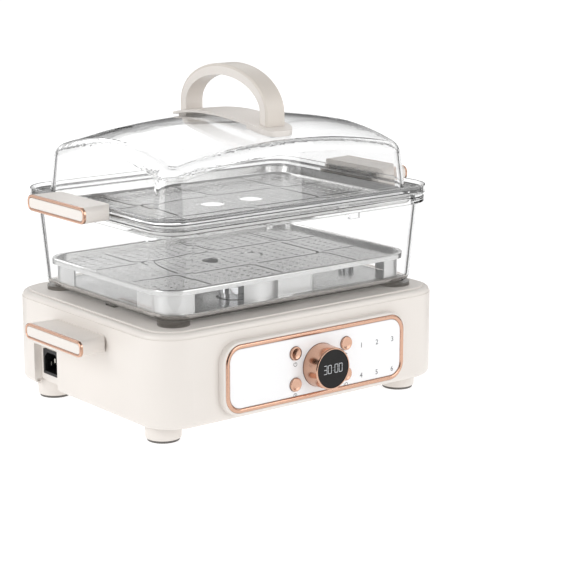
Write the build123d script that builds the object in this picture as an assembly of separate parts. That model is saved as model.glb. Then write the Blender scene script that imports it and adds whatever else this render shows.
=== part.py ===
from build123d import *
import math
import os

# Electric food steamer, in millimetres. The frame stands at the middle of the base, +Z up, with z = 0 on
# the worktop, +X along the long side and -Y towards the control panel.

# ---------------------------------------------------------------- clearances
SLIDE_GAP = 0.6          # between a lift-off piece and the rim that it drops into
TURN_GAP = 0.4           # radial gap round the pieces that turn or are pressed
SEAT_GAP = 0.1           # between two pieces of one assembly that meet on a curved face
FIT_GAP = 0.3            # between a piece and the recess that holds it
OVERCUT = 1.0            # how far a cutting body passes the face that it opens

# ---------------------------------------------------------------- base housing
HOUSING_LENGTH = 340.0
HOUSING_DEPTH = 263.0
HOUSING_CORNER = 35.0
HOUSING_WALL = 2.8
HOUSING_EDGE = 6.0       # rounding of the tub's bottom edge
MOUTH_INSET = 7.0        # from the tub's side to the mouth under the bottom plate
TUB_HEIGHT = 76.5
COVER_SKIRT = 7.9        # upright part of the top cover, up to the shoulder groove
GROOVE_WIDTH = 0.8
GROOVE_DEPTH = 0.8
SHOULDER_RISE = 4.4
SHOULDER_WIDTH = 7.5
DECK_RISE = 1.4
DECK_EDGE = 1.0          # rounding of the raised deck's edge
DECK_THICKNESS = 3.0
PLATE_THICKNESS = 3.0    # bottom plate
PLATE_RECESS = 2.0       # how far the bottom plate sits up inside the tub
VENT_LENGTH = 46.0
VENT_WIDTH = 3.0
VENT_PITCH = 8.0
VENT_COUNT = 7
VENT_X = 60.0

# ---------------------------------------------------------------- feet
FOOT_SIDE_INSET = 27.5       # of a foot's middle from the housing's sides
FOOT_FRONT_INSET = 37.5      # and from its front and back
FOOT_HEIGHT = 17.0
FOOT_RADIUS = 17.4
FOOT_TAPER = 3.0         # degrees
PAD_RADIUS = 15.0
PAD_STANDOUT = 2.5
PAD_RECESS = 1.5

# ---------------------------------------------------------------- control panel
PANEL_X = 2.5
PANEL_RISE = 40.2        # height of the panel's middle above the tub's bottom
TRIM_LENGTH = 214.0
TRIM_HEIGHT = 65.0
TRIM_CORNER = 17.0
TRIM_WIDTH = 4.6
TRIM_DEPTH = 3.6
TRIM_PROUD = 1.2         # how far the ring's crest stands out of the platform
TRIM_ROUND = 2.0         # rounding of the ring's two front edges
BEZEL_MARGIN = 2.2
BEZEL_STANDOUT = 7.5
BEZEL_EDGE = 1.6
FACE_THICKNESS = 2.0
OPENING_MARGIN = 7.0     # the tub's opening is this much smaller than the ring all round
BUTTON_X = 6.0           # middle of the two button columns
BUTTON_DROP = 1.5        # middle of the two rows, below the panel's middle
BUTTON_SPACING_X = 61.0
BUTTON_SPACING_Z = 30.0
BUTTON_RADIUS = 6.4
BUTTON_STANDOUT = 2.0
BUTTON_TRAVEL = 1.0
BUTTON_EDGE = 0.5
BUTTON_DISH = 0.8        # depth of the hollow in the cap's face
BUTTON_DISH_RIM = 1.3
BUTTON_FLANGE = 1.4
BUTTON_FLANGE_THICKNESS = 1.2
STEM_RADIUS = 2.4
SWITCH_SIZE = 6.0
SWITCH_HEIGHT = 3.5
PLUNGER_RADIUS = 1.7
PLUNGER_HEIGHT = 0.9
BOARD_THICKNESS = 1.6
BOARD_GAP = 8.0          # from the back of the bezel to the board
POST_RADIUS = 3.0
POST_INSET = 6.0

# ---------------------------------------------------------------- knob and display
KNOB_X = 5.5
KNOB_DROP = 2.4          # below the panel's middle
KNOB_RADIUS = 20.1
KNOB_STANDOUT = 19.0
KNOB_WALL = 1.5
KNOB_TAPER = 0.6         # the sleeve is this much larger in radius at the panel
KNOB_FLANGE = 1.6
KNOB_FLANGE_THICKNESS = 1.5
KNOB_EDGE = 0.7
LENS_THICKNESS = 1.5
LENS_RECESS = 0.3
ENCODER_RADIUS = 24.0
ENCODER_THICKNESS = 5.0

# ---------------------------------------------------------------- mains inlet
POCKET_DEPTH = 8.0
POCKET_WIDTH = 42.0
POCKET_Y = 65.0
POCKET_RISE = 17.5       # from the inlet's middle to the top of the pocket
INLET_WIDTH = 30.0
INLET_HEIGHT = 25.0
INLET_RISE = 24.0        # height of the inlet's middle above the tub's bottom
INLET_FLANGE = 1.5
INLET_DEPTH = 19.0
INLET_WALL = 2.8
SOCKET_DEPTH = 15.0
SOCKET_CHAMFER = 5.0
PIN_WIDTH = 2.0
PIN_HEIGHT = 4.0
PIN_LENGTH = 11.0
PIN_SPACING = 14.0
PIN_OFFSET = 4.0         # height between the earth pin and the line pins

# ---------------------------------------------------------------- side handles
HANDLE_Y = 0.5
HANDLE_LENGTH = 98.0     # on the outer face
HANDLE_NARROWING = 3.0   # what each end loses from the outer face to the seat
HANDLE_HEIGHT = 15.2
HANDLE_STANDOUT = 30.0
HANDLE_CORNER = 6.5
HANDLE_ROOT_CORNER = 10.0
HANDLE_RING = 2.5
HANDLE_RING_DEPTH = 2.2
HANDLE_RING_PROUD = 0.6
HANDLE_RING_ROUND = 1.1  # rounding of the ring's two outer edges
INSERT_GAP = 0.2
INSERT_ROUND = 0.6
BASE_HANDLE_DROP = 10.2  # from the top of the tub to the grip's middle
BOX_HANDLE_DROP = 3.3    # from the top of the rim to the grip's middle
BOX_HANDLE_STANDOUT = 31.2
EAR_LENGTH = 70.0
EAR_REACH = 18.0
EAR_THICKNESS = 4.0

# ---------------------------------------------------------------- screws
SCREW_RADIUS = 1.5
SCREW_HEAD_RADIUS = 3.0
SCREW_HEAD_HEIGHT = 1.8
BOSS_RADIUS = 8.0
BOSS_HEIGHT = 30.0
HANDLE_SCREW_SPACING = 50.0

# ---------------------------------------------------------------- steam box
BOX_Y = -4.0             # the box stands this far ahead of the housing's middle
BOX_LENGTH = 299.4       # outside, at its bottom
BOX_DEPTH = 223.4
BOX_CORNER = 24.0
BOX_DRAFT = 5.3          # degrees, widening upwards
BOX_WALL = 4.0
BOX_FLOOR = 4.0
BOX_HEIGHT = 97.5
BOX_BOTTOM_EDGE = 10.0
LUG_HEIGHT = 3.8
LUG_RADIUS = 15.0
LUG_INSET = 17.0
SIDE_LUG_LENGTH = 14.0
SIDE_LUG_WIDTH = 9.0
RIM_STANDOUT = 3.25      # from the wall's outer face, at its top, to the rim's edge
RIM_CORNER = 30.0
RIM_LIP = 3.0            # thickness of the upstanding lip
LIP_HEIGHT = 8.6         # upper band of the rim
RIM_GROOVE = 2.4
RIM_GROOVE_DEPTH = 2.6
LOWER_BAND = 6.6
LEDGE_DROP = 7.4         # the ledge's depth below the lip's top
RIM_EDGE = 1.2
STOP_LENGTH = 12.0
STOP_HEIGHT = 5.0
STOP_X = -57.0
FLOOR_PLATE_THICKNESS = 0.8
FLOOR_PLATE_GAP = 0.5    # from the rounding of the box's inner edge to the plate
FLOOR_PLATE_CORNER = 18.0
FLOOR_STEP = 7.0         # the plate's front edge steps back on the right

# ---------------------------------------------------------------- steam turret
TURRET_X = -46.0
TURRET_INSET = 44.7      # from the front of the box's bottom to the turret's middle
TURRET_RADIUS = 15.3
TURRET_NECK = 14.2
TURRET_RISE = 17.4       # above the floor plate
CAP_RADIUS = 13.6
CAP_HEIGHT = 3.4
CAP_EDGE = 0.8
GASKET_RADIUS = 14.6
GASKET_THICKNESS = 1.2
NECK_HEIGHT = 5.0        # narrow collar above the floor plate
TURRET_BORE = 6.0
STEAM_HOLE_RADIUS = 1.6
STEAM_HOLE_COUNT = 8
STEAM_HOLE_CIRCLE = 9.0
TURRET_HOLE_GAP = 1.5
NUT_THICKNESS = 4.0
DRAIN_INSET = 30.7       # from the right of the box's bottom to the plug's middle
DRAIN_Y = -39.0
DRAIN_RADIUS = 8.0
DRAIN_HEIGHT = 8.5
DRAIN_GROOVE = 1.2
DRAIN_STEM = 4.0

# ---------------------------------------------------------------- lower rack
SHEET = 0.8
RACK_SIDE_GAP = 0.75     # from the rack's bead to the box's wall, left and right
RACK_FRONT_GAP = 5.95    # the same at the front and at the back
RACK_CORNER = 26.0
RACK_RISE = 20.1         # from the floor plate to the top of the rack's floor
BEAD_WIDTH = 5.0
BEAD_RISE = 4.5
BEAD_EDGE = 1.9
LEG_ON_LONG_SIDE = 28.0
LEG_ON_SHORT_SIDE = 44.0
LEG_INSET = 5.0
HEM_RADIUS = 1.0
MIDDLE_LEG_X = -12.0
MIDDLE_LEG_LENGTH = 80.0
MIDDLE_LEG_BULGE = 40.0
BULGE_RADIUS = 30.0
PATTERN_X = 3.0
FIELD_LENGTH = 166.0
FIELD_DEPTH = 72.0
FIELD_GAP = 4.0
CREASE_WIDTH = 2.4
CREASE_DEPTH = 1.2
CREASE_CORNER = 9.0
CREASE_END = 8.0         # how far a crease stays from the rim
DRAIN_HOLE_RADIUS = 2.1  # the many small holes for steam and drops
DRAIN_HOLE_MARGIN = 1.0  # sheet that stays between a small hole and a crease
DRAIN_HOLE_PITCH = 24.0
DRAIN_HOLE_SIDES = 6
FINGER_HOLE_RADIUS = 11.5
FINGER_HOLE_SPACING = 46.5

# ---------------------------------------------------------------- upper tray
TRAY_GAP = 2.7           # from the box's wall to the tray's, at the ledge
TRAY_CORNER = 22.0
TRAY_DROP = 10.5         # from the ledge to the underside of the floor
TRAY_DRAFT = 13.0
TRAY_FLOOR_EDGE = 3.0

# ---------------------------------------------------------------- lid
BRIM_SIDE_WIDTH = 11.9   # from the brim's edge to the dome, left and right
BRIM_FRONT_WIDTH = 13.4  # the same at the front and at the back
LID_CORNER = 24.0
LID_DRAFT = 7.2
LID_WALL = 3.0
LID_RISE = 70.9          # from the brim's top to the crown
CROWN_RADIUS_X = 678.0
CROWN_RADIUS_Y = 323.0
LID_SHOULDER = 15.0
BRIM_THICKNESS = 3.4
BRIM_EDGE = 1.0
VENT_DISH_X = -105.0
VENT_DISH_Y = 42.0       # behind the lid's middle
VENT_DISH_RADIUS = 19.0
VENT_DISH_DEPTH = 0.7
VENT_HOLE_RADIUS = 2.2

# ---------------------------------------------------------------- lid handle
LID_HANDLE_SHIFT = 4.5   # the arch and its leaf stand this far ahead of the lid's middle
ARCH_SPAN = 140.0        # outside, front to back
ARCH_RISE = 42.0         # of the curved part, above the straight legs
ARCH_LEG = 8.3           # from the crown to where the legs turn into the curve
ARCH_THICKNESS = 10.6
ARCH_WIDTH = 21.0
CAP_STRIP = 2.6          # thickness of the arch's outer strip
ARCH_EDGE = 2.2          # rounding of the arch's long edges
LEAF_LENGTH = 162.0
LEAF_END_WIDTH = 33.0
LEAF_MIDDLE_WIDTH = 45.0
LEAF_END_ROUND = 14.0
LEAF_THICKNESS = 2.5
LEAF_LIFT = 2.7          # gap under the leaf, between its two feet
LEAF_FOOT_LENGTH = 30.0
REAR_FOOT_MARGIN = 2.0   # of the rear foot round the leg above it
WASHER_RADIUS = 8.0
WASHER_THICKNESS = 1.2

# ---------------------------------------------------------------- steam maker
BOILER_RADIUS = 42.0
BOILER_Y = -44.0
BOILER_HEIGHT = 34.0
BOILER_STANDOFF = 12.0
BOILER_WALL = 4.0
BOILER_COVER_THICKNESS = 5.0
SPIGOT_HEIGHT = 8.0
TUBE_WALL = 2.0
ELEMENT_RADIUS = 30.0
ELEMENT_TUBE = 4.0
THERMOSTAT_RADIUS = 8.0
THERMOSTAT_HEIGHT = 9.0
POWER_BOARD_LENGTH = 96.0
POWER_BOARD_DEPTH = 66.0
POWER_BOARD_X = 84.0
POWER_BOARD_Y = 52.0
POWER_BOARD_STANDOFF = 8.0
RELAY = (-28.0, 12.0, 28.0, 22.0, 20.0)         # place x, y on the board, length, depth, height
TRANSFORMER = (26.0, 10.0, 20.0, 16.0, 16.0)
CAPACITOR_RADIUS = 7.0
CAPACITOR_HEIGHT = 22.0

# ---------------------------------------------------------------- heights, faces and sizes that follow
TUB_BOTTOM = FOOT_HEIGHT
FOOT_X = HOUSING_LENGTH / 2 - FOOT_SIDE_INSET
FOOT_Y = HOUSING_DEPTH / 2 - FOOT_FRONT_INSET
PARTING = TUB_BOTTOM + TUB_HEIGHT
SHOULDER_LOW = PARTING + COVER_SKIRT
SHOULDER_TOP = SHOULDER_LOW + SHOULDER_RISE
DECK = SHOULDER_TOP + DECK_RISE
PLATE_BOTTOM = TUB_BOTTOM + PLATE_RECESS
PLATE_TOP = PLATE_BOTTOM + PLATE_THICKNESS
HOUSING_FRONT = -HOUSING_DEPTH / 2
HOUSING_SIDE = HOUSING_LENGTH / 2
PANEL_Z = TUB_BOTTOM + PANEL_RISE
BUTTON_Z = PANEL_Z - BUTTON_DROP
KNOB_Z = PANEL_Z - KNOB_DROP
BEZEL_FRONT = HOUSING_FRONT - BEZEL_STANDOUT
TRIM_FRONT = BEZEL_FRONT - TRIM_PROUD
FACE_FRONT = BEZEL_FRONT
FACE_BACK = FACE_FRONT + FACE_THICKNESS
BOARD_FRONT = HOUSING_FRONT + BOARD_GAP
INLET_Z = TUB_BOTTOM + INLET_RISE
POCKET_TOP = INLET_Z + POCKET_RISE
BOX_BOTTOM = DECK + LUG_HEIGHT
BOX_TOP = BOX_BOTTOM + BOX_HEIGHT
BOX_INSIDE = BOX_BOTTOM + BOX_FLOOR
BOX_SLOPE = math.tan(math.radians(BOX_DRAFT))
RIM_LENGTH = BOX_LENGTH + 2 * (BOX_HEIGHT * BOX_SLOPE + RIM_STANDOUT)
RIM_DEPTH = BOX_DEPTH + 2 * (BOX_HEIGHT * BOX_SLOPE + RIM_STANDOUT)
LEDGE = BOX_TOP - LEDGE_DROP
FLOOR_PLATE_TOP = BOX_INSIDE + FLOOR_PLATE_THICKNESS
BASE_HANDLE_Z = PARTING - BASE_HANDLE_DROP
BOX_HANDLE_Z = BOX_TOP - BOX_HANDLE_DROP
TURRET_Y = BOX_Y - BOX_DEPTH / 2 + TURRET_INSET
TURRET_TOP = FLOOR_PLATE_TOP + TURRET_RISE
DRAIN_X = BOX_LENGTH / 2 - DRAIN_INSET
RACK_FLOOR_TOP = FLOOR_PLATE_TOP + RACK_RISE
RACK_FLOOR = RACK_FLOOR_TOP - SHEET
WALL_AT_RACK = BOX_WALL - (RACK_FLOOR - BOX_BOTTOM) * BOX_SLOPE     # inward from the bottom's outline
WALL_AT_LEDGE = BOX_WALL - (LEDGE - BOX_BOTTOM) * BOX_SLOPE
RACK_LENGTH = BOX_LENGTH - 2 * (WALL_AT_RACK + RACK_SIDE_GAP)
RACK_DEPTH = BOX_DEPTH - 2 * (WALL_AT_RACK + RACK_FRONT_GAP)
TRAY_LENGTH = BOX_LENGTH - 2 * (WALL_AT_LEDGE + TRAY_GAP)          # outside of the wall, under its rim
TRAY_DEPTH = BOX_DEPTH - 2 * (WALL_AT_LEDGE + TRAY_GAP)
BRIM_BOTTOM = LEDGE + SHEET
BRIM_TOP = BRIM_BOTTOM + BRIM_THICKNESS
BRIM_LENGTH = RIM_LENGTH - 2 * (RIM_LIP + SLIDE_GAP)
BRIM_DEPTH = RIM_DEPTH - 2 * (RIM_LIP + SLIDE_GAP)
BRIM_CORNER = RIM_CORNER - RIM_LIP - SLIDE_GAP
LID_LENGTH = BRIM_LENGTH - 2 * BRIM_SIDE_WIDTH
LID_DEPTH = BRIM_DEPTH - 2 * BRIM_FRONT_WIDTH
LID_CROWN = BRIM_TOP + LID_RISE
ARCH_SPRING = LID_CROWN + ARCH_LEG
LID_HANDLE_Y = BOX_Y - LID_HANDLE_SHIFT
LEAF_TOP = LEAF_LIFT + LEAF_THICKNESS


# ================================================================ shapes that repeat
def slab(length, depth, corner, low, high, y=0.0):
    """Upright block with rounded corners, between two heights."""
    return Pos(0, y, low) * extrude(RectangleRounded(length, depth, corner), high - low)


def drafted(length, depth, corner, low, height, draft, y=0.0):
    """Block with rounded corners whose sides lean in by the draft, or out where it is negative."""
    return Pos(0, y, low) * extrude(RectangleRounded(length, depth, corner), height, taper=draft)


def rod(x, y, low, high, radius):
    """Upright cylinder between two heights."""
    return Pos(x, y, (low + high) / 2) * Cylinder(radius, high - low)


def rod_y(x, z, front, back, radius):
    """Cylinder along Y, between two faces."""
    return Pos(x, (front + back) / 2, z) * Rot(90, 0, 0) * Cylinder(radius, back - front)


def front_slab(length, height, corner, x, z, front, back):
    """Block with rounded corners that faces -Y."""
    plane = Plane(origin=(x, front, z), x_dir=(1, 0, 0), z_dir=(0, 1, 0))
    return extrude(plane * RectangleRounded(length, height, corner), back - front)


def side_slab(length, height, corner, y, z, start, end):
    """Block with rounded corners that faces along X."""
    plane = Plane(origin=(start, y, z), x_dir=(0, 1, 0), z_dir=(1, 0, 0))
    return extrude(plane * RectangleRounded(length, height, corner), end - start)


def round_top(part, radius):
    """Rounds the edges of a part's highest face."""
    return fillet(part.faces().sort_by(Axis.Z)[-1].edges(), radius)


def round_bottom(part, radius):
    """Rounds the edges of a part's lowest face."""
    return fillet(part.faces().sort_by(Axis.Z)[0].edges(), radius)


def four_corners(x, y):
    """The four places at plus and minus x and y."""
    return [(sx * x, sy * y) for sx in (-1, 1) for sy in (-1, 1)]


def joined(pieces):
    """One node of several separate solids."""
    return Compound(children=[solid for piece in pieces for solid in piece.solids()])


# ================================================================ base housing
def boss_places():
    """Places of the four screw bosses, in the tub's corners."""
    reach = (HOUSING_CORNER - MOUTH_INSET - SCREW_HEAD_RADIUS - FIT_GAP) / math.sqrt(2)
    return four_corners(
        HOUSING_SIDE - HOUSING_CORNER + reach,
        HOUSING_DEPTH / 2 - HOUSING_CORNER + reach,
    )


def inlet_pocket(margin):
    """The pocket for the mains plug, grown by a margin into the tub; it is open at its bottom."""
    floor = -HOUSING_SIDE + POCKET_DEPTH + margin
    top = POCKET_TOP + margin
    start = TUB_BOTTOM - margin - OVERCUT
    block = Box(floor + HOUSING_SIDE + OVERCUT, POCKET_WIDTH + 2 * margin, top - start)
    return Pos((floor - HOUSING_SIDE - OVERCUT) / 2, POCKET_Y, (top + start) / 2) * block


def lower_housing():
    """Rounded tub, open below and above, with the pocket, the panel's opening and the bosses."""
    outside = slab(HOUSING_LENGTH, HOUSING_DEPTH, HOUSING_CORNER, TUB_BOTTOM, PARTING)
    outside = round_bottom(outside, HOUSING_EDGE)
    inside = slab(
        HOUSING_LENGTH - 2 * HOUSING_WALL,
        HOUSING_DEPTH - 2 * HOUSING_WALL,
        HOUSING_CORNER - HOUSING_WALL,
        PLATE_BOTTOM,
        PARTING,
    )
    mouth = slab(
        HOUSING_LENGTH - 2 * MOUTH_INSET,
        HOUSING_DEPTH - 2 * MOUTH_INSET,
        HOUSING_CORNER - MOUTH_INSET,
        TUB_BOTTOM,
        PLATE_BOTTOM,
    )
    tub = outside - inside - mouth
    below_plate = slab(HOUSING_LENGTH, HOUSING_DEPTH, HOUSING_WALL, 0, PLATE_TOP)
    tub += outside & (inlet_pocket(HOUSING_WALL) - below_plate)
    tub -= inlet_pocket(0)
    for x, y in boss_places():
        boss = rod(x, y, PLATE_TOP, PLATE_TOP + BOSS_HEIGHT, BOSS_RADIUS)
        tub += boss & outside
        tub -= rod(x, y, PLATE_TOP, PLATE_TOP + BOSS_HEIGHT / 2, SCREW_RADIUS)
    tub -= front_slab(
        TRIM_LENGTH - 2 * OPENING_MARGIN,
        TRIM_HEIGHT - 2 * OPENING_MARGIN,
        TRIM_CORNER - OPENING_MARGIN,
        PANEL_X,
        PANEL_Z,
        HOUSING_FRONT,
        HOUSING_FRONT + HOUSING_WALL,
    )
    tub -= inlet_body(FIT_GAP)
    for side in (-1, 1):
        for y, z in handle_screw_places(HANDLE_Y, BASE_HANDLE_Z):
            hole = Pos(side * (HOUSING_SIDE - HOUSING_WALL / 2), y, z) * Rot(0, 90, 0)
            tub -= hole * Cylinder(SCREW_RADIUS, HOUSING_WALL)
    return tub


def top_cover():
    """Moulded deck: an upright skirt, a groove, a convex shoulder and the raised flat deck."""
    length = HOUSING_LENGTH - 2 * GROOVE_DEPTH
    depth = HOUSING_DEPTH - 2 * GROOVE_DEPTH
    corner = HOUSING_CORNER - GROOVE_DEPTH
    cover = slab(HOUSING_LENGTH, HOUSING_DEPTH, HOUSING_CORNER, PARTING, SHOULDER_LOW - GROOVE_WIDTH)
    shoulder = slab(length, depth, corner, SHOULDER_LOW - GROOVE_WIDTH, SHOULDER_TOP)
    cover += round_top(shoulder, SHOULDER_RISE)
    deck = slab(
        HOUSING_LENGTH - 2 * SHOULDER_WIDTH,
        HOUSING_DEPTH - 2 * SHOULDER_WIDTH,
        HOUSING_CORNER - SHOULDER_WIDTH,
        SHOULDER_LOW,
        DECK,
    )
    cover += round_top(deck, DECK_EDGE)
    hollow = slab(
        HOUSING_LENGTH - 2 * HOUSING_WALL,
        HOUSING_DEPTH - 2 * HOUSING_WALL,
        HOUSING_CORNER - HOUSING_WALL,
        PARTING,
        SHOULDER_LOW - GROOVE_WIDTH,
    )
    under = slab(
        HOUSING_LENGTH - 2 * (SHOULDER_WIDTH + HOUSING_WALL),
        HOUSING_DEPTH - 2 * (SHOULDER_WIDTH + HOUSING_WALL),
        HOUSING_CORNER - SHOULDER_WIDTH - HOUSING_WALL,
        PARTING,
        DECK - DECK_THICKNESS,
    )
    cover -= hollow + under
    return cover - rod(TURRET_X, TURRET_Y, PARTING, DECK, TURRET_BORE + TUBE_WALL + FIT_GAP)


def bottom_plate():
    """Flat plate that closes the tub, with two fields of vent slots and posts for what it carries."""
    gap = HOUSING_WALL + FIT_GAP
    plate = slab(
        HOUSING_LENGTH - 2 * gap, HOUSING_DEPTH - 2 * gap, HOUSING_CORNER - gap, PLATE_BOTTOM, PLATE_TOP
    )
    plate -= inlet_pocket(HOUSING_WALL + FIT_GAP)
    for x, y in boss_places():
        plate -= rod(x, y, PLATE_BOTTOM, PLATE_TOP, SCREW_RADIUS + FIT_GAP)
    middle = (VENT_COUNT - 1) / 2
    for side in (-1, 1):
        for index in range(VENT_COUNT):
            slot = Pos(side * VENT_X, (index - middle) * VENT_PITCH, PLATE_BOTTOM)
            plate -= slot * extrude(SlotOverall(VENT_LENGTH, VENT_WIDTH), PLATE_THICKNESS)
    for x, y in boiler_post_places():
        plate += rod(x, y, PLATE_TOP, PLATE_TOP + BOILER_STANDOFF, POST_RADIUS)
    for x, y in power_post_places():
        plate += rod(x, y, PLATE_TOP, PLATE_TOP + POWER_BOARD_STANDOFF, POST_RADIUS)
    return plate


def feet():
    """Four moulded cups under the plate, each with a shallow recess for its pad."""
    cups = []
    for x, y in four_corners(FOOT_X, FOOT_Y):
        height = PLATE_BOTTOM - PAD_STANDOUT
        cup = extrude(Circle(FOOT_RADIUS), -height, taper=FOOT_TAPER)
        cup = Pos(x, y, PLATE_BOTTOM) * cup
        cup = round_bottom(cup, PAD_RECESS / 2)
        cups.append(cup - rod(x, y, PAD_STANDOUT, PAD_STANDOUT + PAD_RECESS, PAD_RADIUS))
    return joined(cups)


def foot_pads():
    """Four rubber discs that stand on the worktop."""
    pads = []
    for x, y in four_corners(FOOT_X, FOOT_Y):
        pad = rod(x, y, 0, PAD_STANDOUT + PAD_RECESS, PAD_RADIUS)
        pads.append(round_bottom(pad, PAD_STANDOUT / 4))
    return joined(pads)


def upright_screw(x, y, head_bottom, length, drive_up):
    """Pan-head screw; its shank points up from the head, or down from it."""
    head = rod(x, y, head_bottom, head_bottom + SCREW_HEAD_HEIGHT, SCREW_HEAD_RADIUS)
    if drive_up:
        start = head_bottom + SCREW_HEAD_HEIGHT
        return head + rod(x, y, start, start + length, SCREW_RADIUS)
    return head + rod(x, y, head_bottom - length, head_bottom, SCREW_RADIUS)


def housing_screws():
    """Four screws up through the bottom plate into the tub's bosses."""
    length = PLATE_THICKNESS + BOSS_HEIGHT / 2
    return joined(
        [
            upright_screw(x, y, PLATE_BOTTOM - SCREW_HEAD_HEIGHT, length, True)
            for x, y in boss_places()
        ]
    )


# ================================================================ control panel
def button_places():
    """The four button places as (name, x, z)."""
    half_x, half_z = BUTTON_SPACING_X / 2, BUTTON_SPACING_Z / 2
    return [
        ("button_upper_left", BUTTON_X - half_x, BUTTON_Z + half_z),
        ("button_lower_left", BUTTON_X - half_x, BUTTON_Z - half_z),
        ("button_upper_right", BUTTON_X + half_x, BUTTON_Z + half_z),
        ("button_lower_right", BUTTON_X + half_x, BUTTON_Z - half_z),
    ]


def board_size():
    """Length and height of the control board, inside the tub's opening."""
    margin = OPENING_MARGIN + FIT_GAP * 2
    return TRIM_LENGTH - 2 * margin, TRIM_HEIGHT - 2 * margin


def control_bezel():
    """Raised cream platform with the recess for ring and plate, the bores and the board's posts."""
    bezel = front_slab(
        TRIM_LENGTH + 2 * BEZEL_MARGIN,
        TRIM_HEIGHT + 2 * BEZEL_MARGIN,
        TRIM_CORNER + BEZEL_MARGIN,
        PANEL_X,
        PANEL_Z,
        BEZEL_FRONT,
        HOUSING_FRONT,
    )
    bezel = fillet(bezel.faces().sort_by(Axis.Y)[0].edges(), BEZEL_EDGE)
    recess = front_slab(
        TRIM_LENGTH, TRIM_HEIGHT, TRIM_CORNER, PANEL_X, PANEL_Z, BEZEL_FRONT, TRIM_FRONT + TRIM_DEPTH
    )
    bezel -= recess
    bore = BUTTON_RADIUS + BUTTON_FLANGE + TURN_GAP
    for _, x, z in button_places():
        bezel -= rod_y(x, z, BEZEL_FRONT, HOUSING_FRONT, bore)
    bezel -= rod_y(
        KNOB_X, KNOB_Z, BEZEL_FRONT, HOUSING_FRONT, KNOB_RADIUS + KNOB_TAPER + KNOB_FLANGE + TURN_GAP
    )
    length, height = board_size()
    for x, z in four_corners(length / 2 - POST_INSET, height / 2 - POST_INSET):
        bezel += rod_y(PANEL_X + x, PANEL_Z + z, HOUSING_FRONT, BOARD_FRONT, POST_RADIUS)
    return bezel


def panel_trim():
    """Rose-gold ring with a half-round front."""
    ring = front_slab(
        TRIM_LENGTH, TRIM_HEIGHT, TRIM_CORNER, PANEL_X, PANEL_Z, TRIM_FRONT, TRIM_FRONT + TRIM_DEPTH
    )
    hole = front_slab(
        TRIM_LENGTH - 2 * TRIM_WIDTH,
        TRIM_HEIGHT - 2 * TRIM_WIDTH,
        TRIM_CORNER - TRIM_WIDTH,
        PANEL_X,
        PANEL_Z,
        TRIM_FRONT,
        TRIM_FRONT + TRIM_DEPTH,
    )
    ring -= hole
    return fillet(ring.faces().sort_by(Axis.Y)[0].edges(), TRIM_ROUND)


def panel_face():
    """White plate inside the ring, with the holes for the buttons and the knob."""
    margin = TRIM_WIDTH + INSERT_GAP
    face = front_slab(
        TRIM_LENGTH - 2 * margin,
        TRIM_HEIGHT - 2 * margin,
        TRIM_CORNER - margin,
        PANEL_X,
        PANEL_Z,
        FACE_FRONT,
        FACE_BACK,
    )
    for _, x, z in button_places():
        face -= rod_y(x, z, FACE_FRONT, FACE_BACK, BUTTON_RADIUS + TURN_GAP)
    return face - rod_y(KNOB_X, KNOB_Z, FACE_FRONT, FACE_BACK, KNOB_RADIUS + KNOB_TAPER + TURN_GAP)


def button(x, z):
    """Round push button: a dished cap, the flange that keeps it in and the stem to its switch."""
    front = FACE_FRONT - BUTTON_STANDOUT
    flange = FACE_BACK + FIT_GAP
    cap = rod_y(x, z, front, flange + BUTTON_FLANGE_THICKNESS, BUTTON_RADIUS)
    cap = fillet(cap.faces().sort_by(Axis.Y)[0].edges(), BUTTON_EDGE)
    dish = BUTTON_RADIUS - BUTTON_DISH_RIM
    ball = (dish**2 + BUTTON_DISH**2) / (2 * BUTTON_DISH)
    cap -= Pos(x, front + BUTTON_DISH - ball, z) * Sphere(ball)
    cap += rod_y(x, z, flange, flange + BUTTON_FLANGE_THICKNESS, BUTTON_RADIUS + BUTTON_FLANGE)
    plunger = BOARD_FRONT - SWITCH_HEIGHT - PLUNGER_HEIGHT
    return cap + rod_y(x, z, flange, plunger - BUTTON_TRAVEL - FIT_GAP, STEM_RADIUS)


def button_switches():
    """Four tact switches on the board, one behind each button."""
    switches = []
    for _, x, z in button_places():
        front = BOARD_FRONT - SWITCH_HEIGHT
        body = Pos(x, BOARD_FRONT - SWITCH_HEIGHT / 2, z) * Box(SWITCH_SIZE, SWITCH_HEIGHT, SWITCH_SIZE)
        switches.append(body + rod_y(x, z, front - PLUNGER_HEIGHT, front, PLUNGER_RADIUS))
    return joined(switches)


def control_board():
    """Circuit board behind the panel, with its processor, on the bezel's posts."""
    length, height = board_size()
    back = BOARD_FRONT + BOARD_THICKNESS
    board = front_slab(length, height, BOARD_THICKNESS, PANEL_X, PANEL_Z, BOARD_FRONT, back)
    chip = Box(SWITCH_SIZE * 2, BOARD_THICKNESS, SWITCH_SIZE * 2)
    return board + Pos(PANEL_X + length / 4, back + BOARD_THICKNESS / 2, PANEL_Z) * chip


def knob_bore():
    """Radius of the hole through the turning sleeve."""
    return KNOB_RADIUS - KNOB_WALL


def knob_sleeve():
    """Turning sleeve: a slightly tapered tube with a rounded lip and a flange behind the plate."""
    front = FACE_FRONT - KNOB_STANDOUT
    panel = FACE_FRONT - FIT_GAP
    flange = FACE_BACK + FIT_GAP
    end = flange + KNOB_FLANGE_THICKNESS
    root = KNOB_RADIUS + KNOB_TAPER
    outline = Polyline(
        (knob_bore(), front),
        (KNOB_RADIUS - KNOB_EDGE, front),
        (KNOB_RADIUS, front + KNOB_EDGE),
        (root, panel),
        (root - TURN_GAP, panel),
        (root - TURN_GAP, flange),
        (root + KNOB_FLANGE, flange),
        (root + KNOB_FLANGE, end),
        (knob_bore(), end),
        close=True,
    )
    return turned(make_face(outline))


def turned(face):
    """Turns an outline of (radius, y) round the knob's axis."""
    shape = revolve(face, axis=Axis.Y, revolution_arc=360)
    return Pos(KNOB_X, 0, KNOB_Z) * shape


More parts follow.
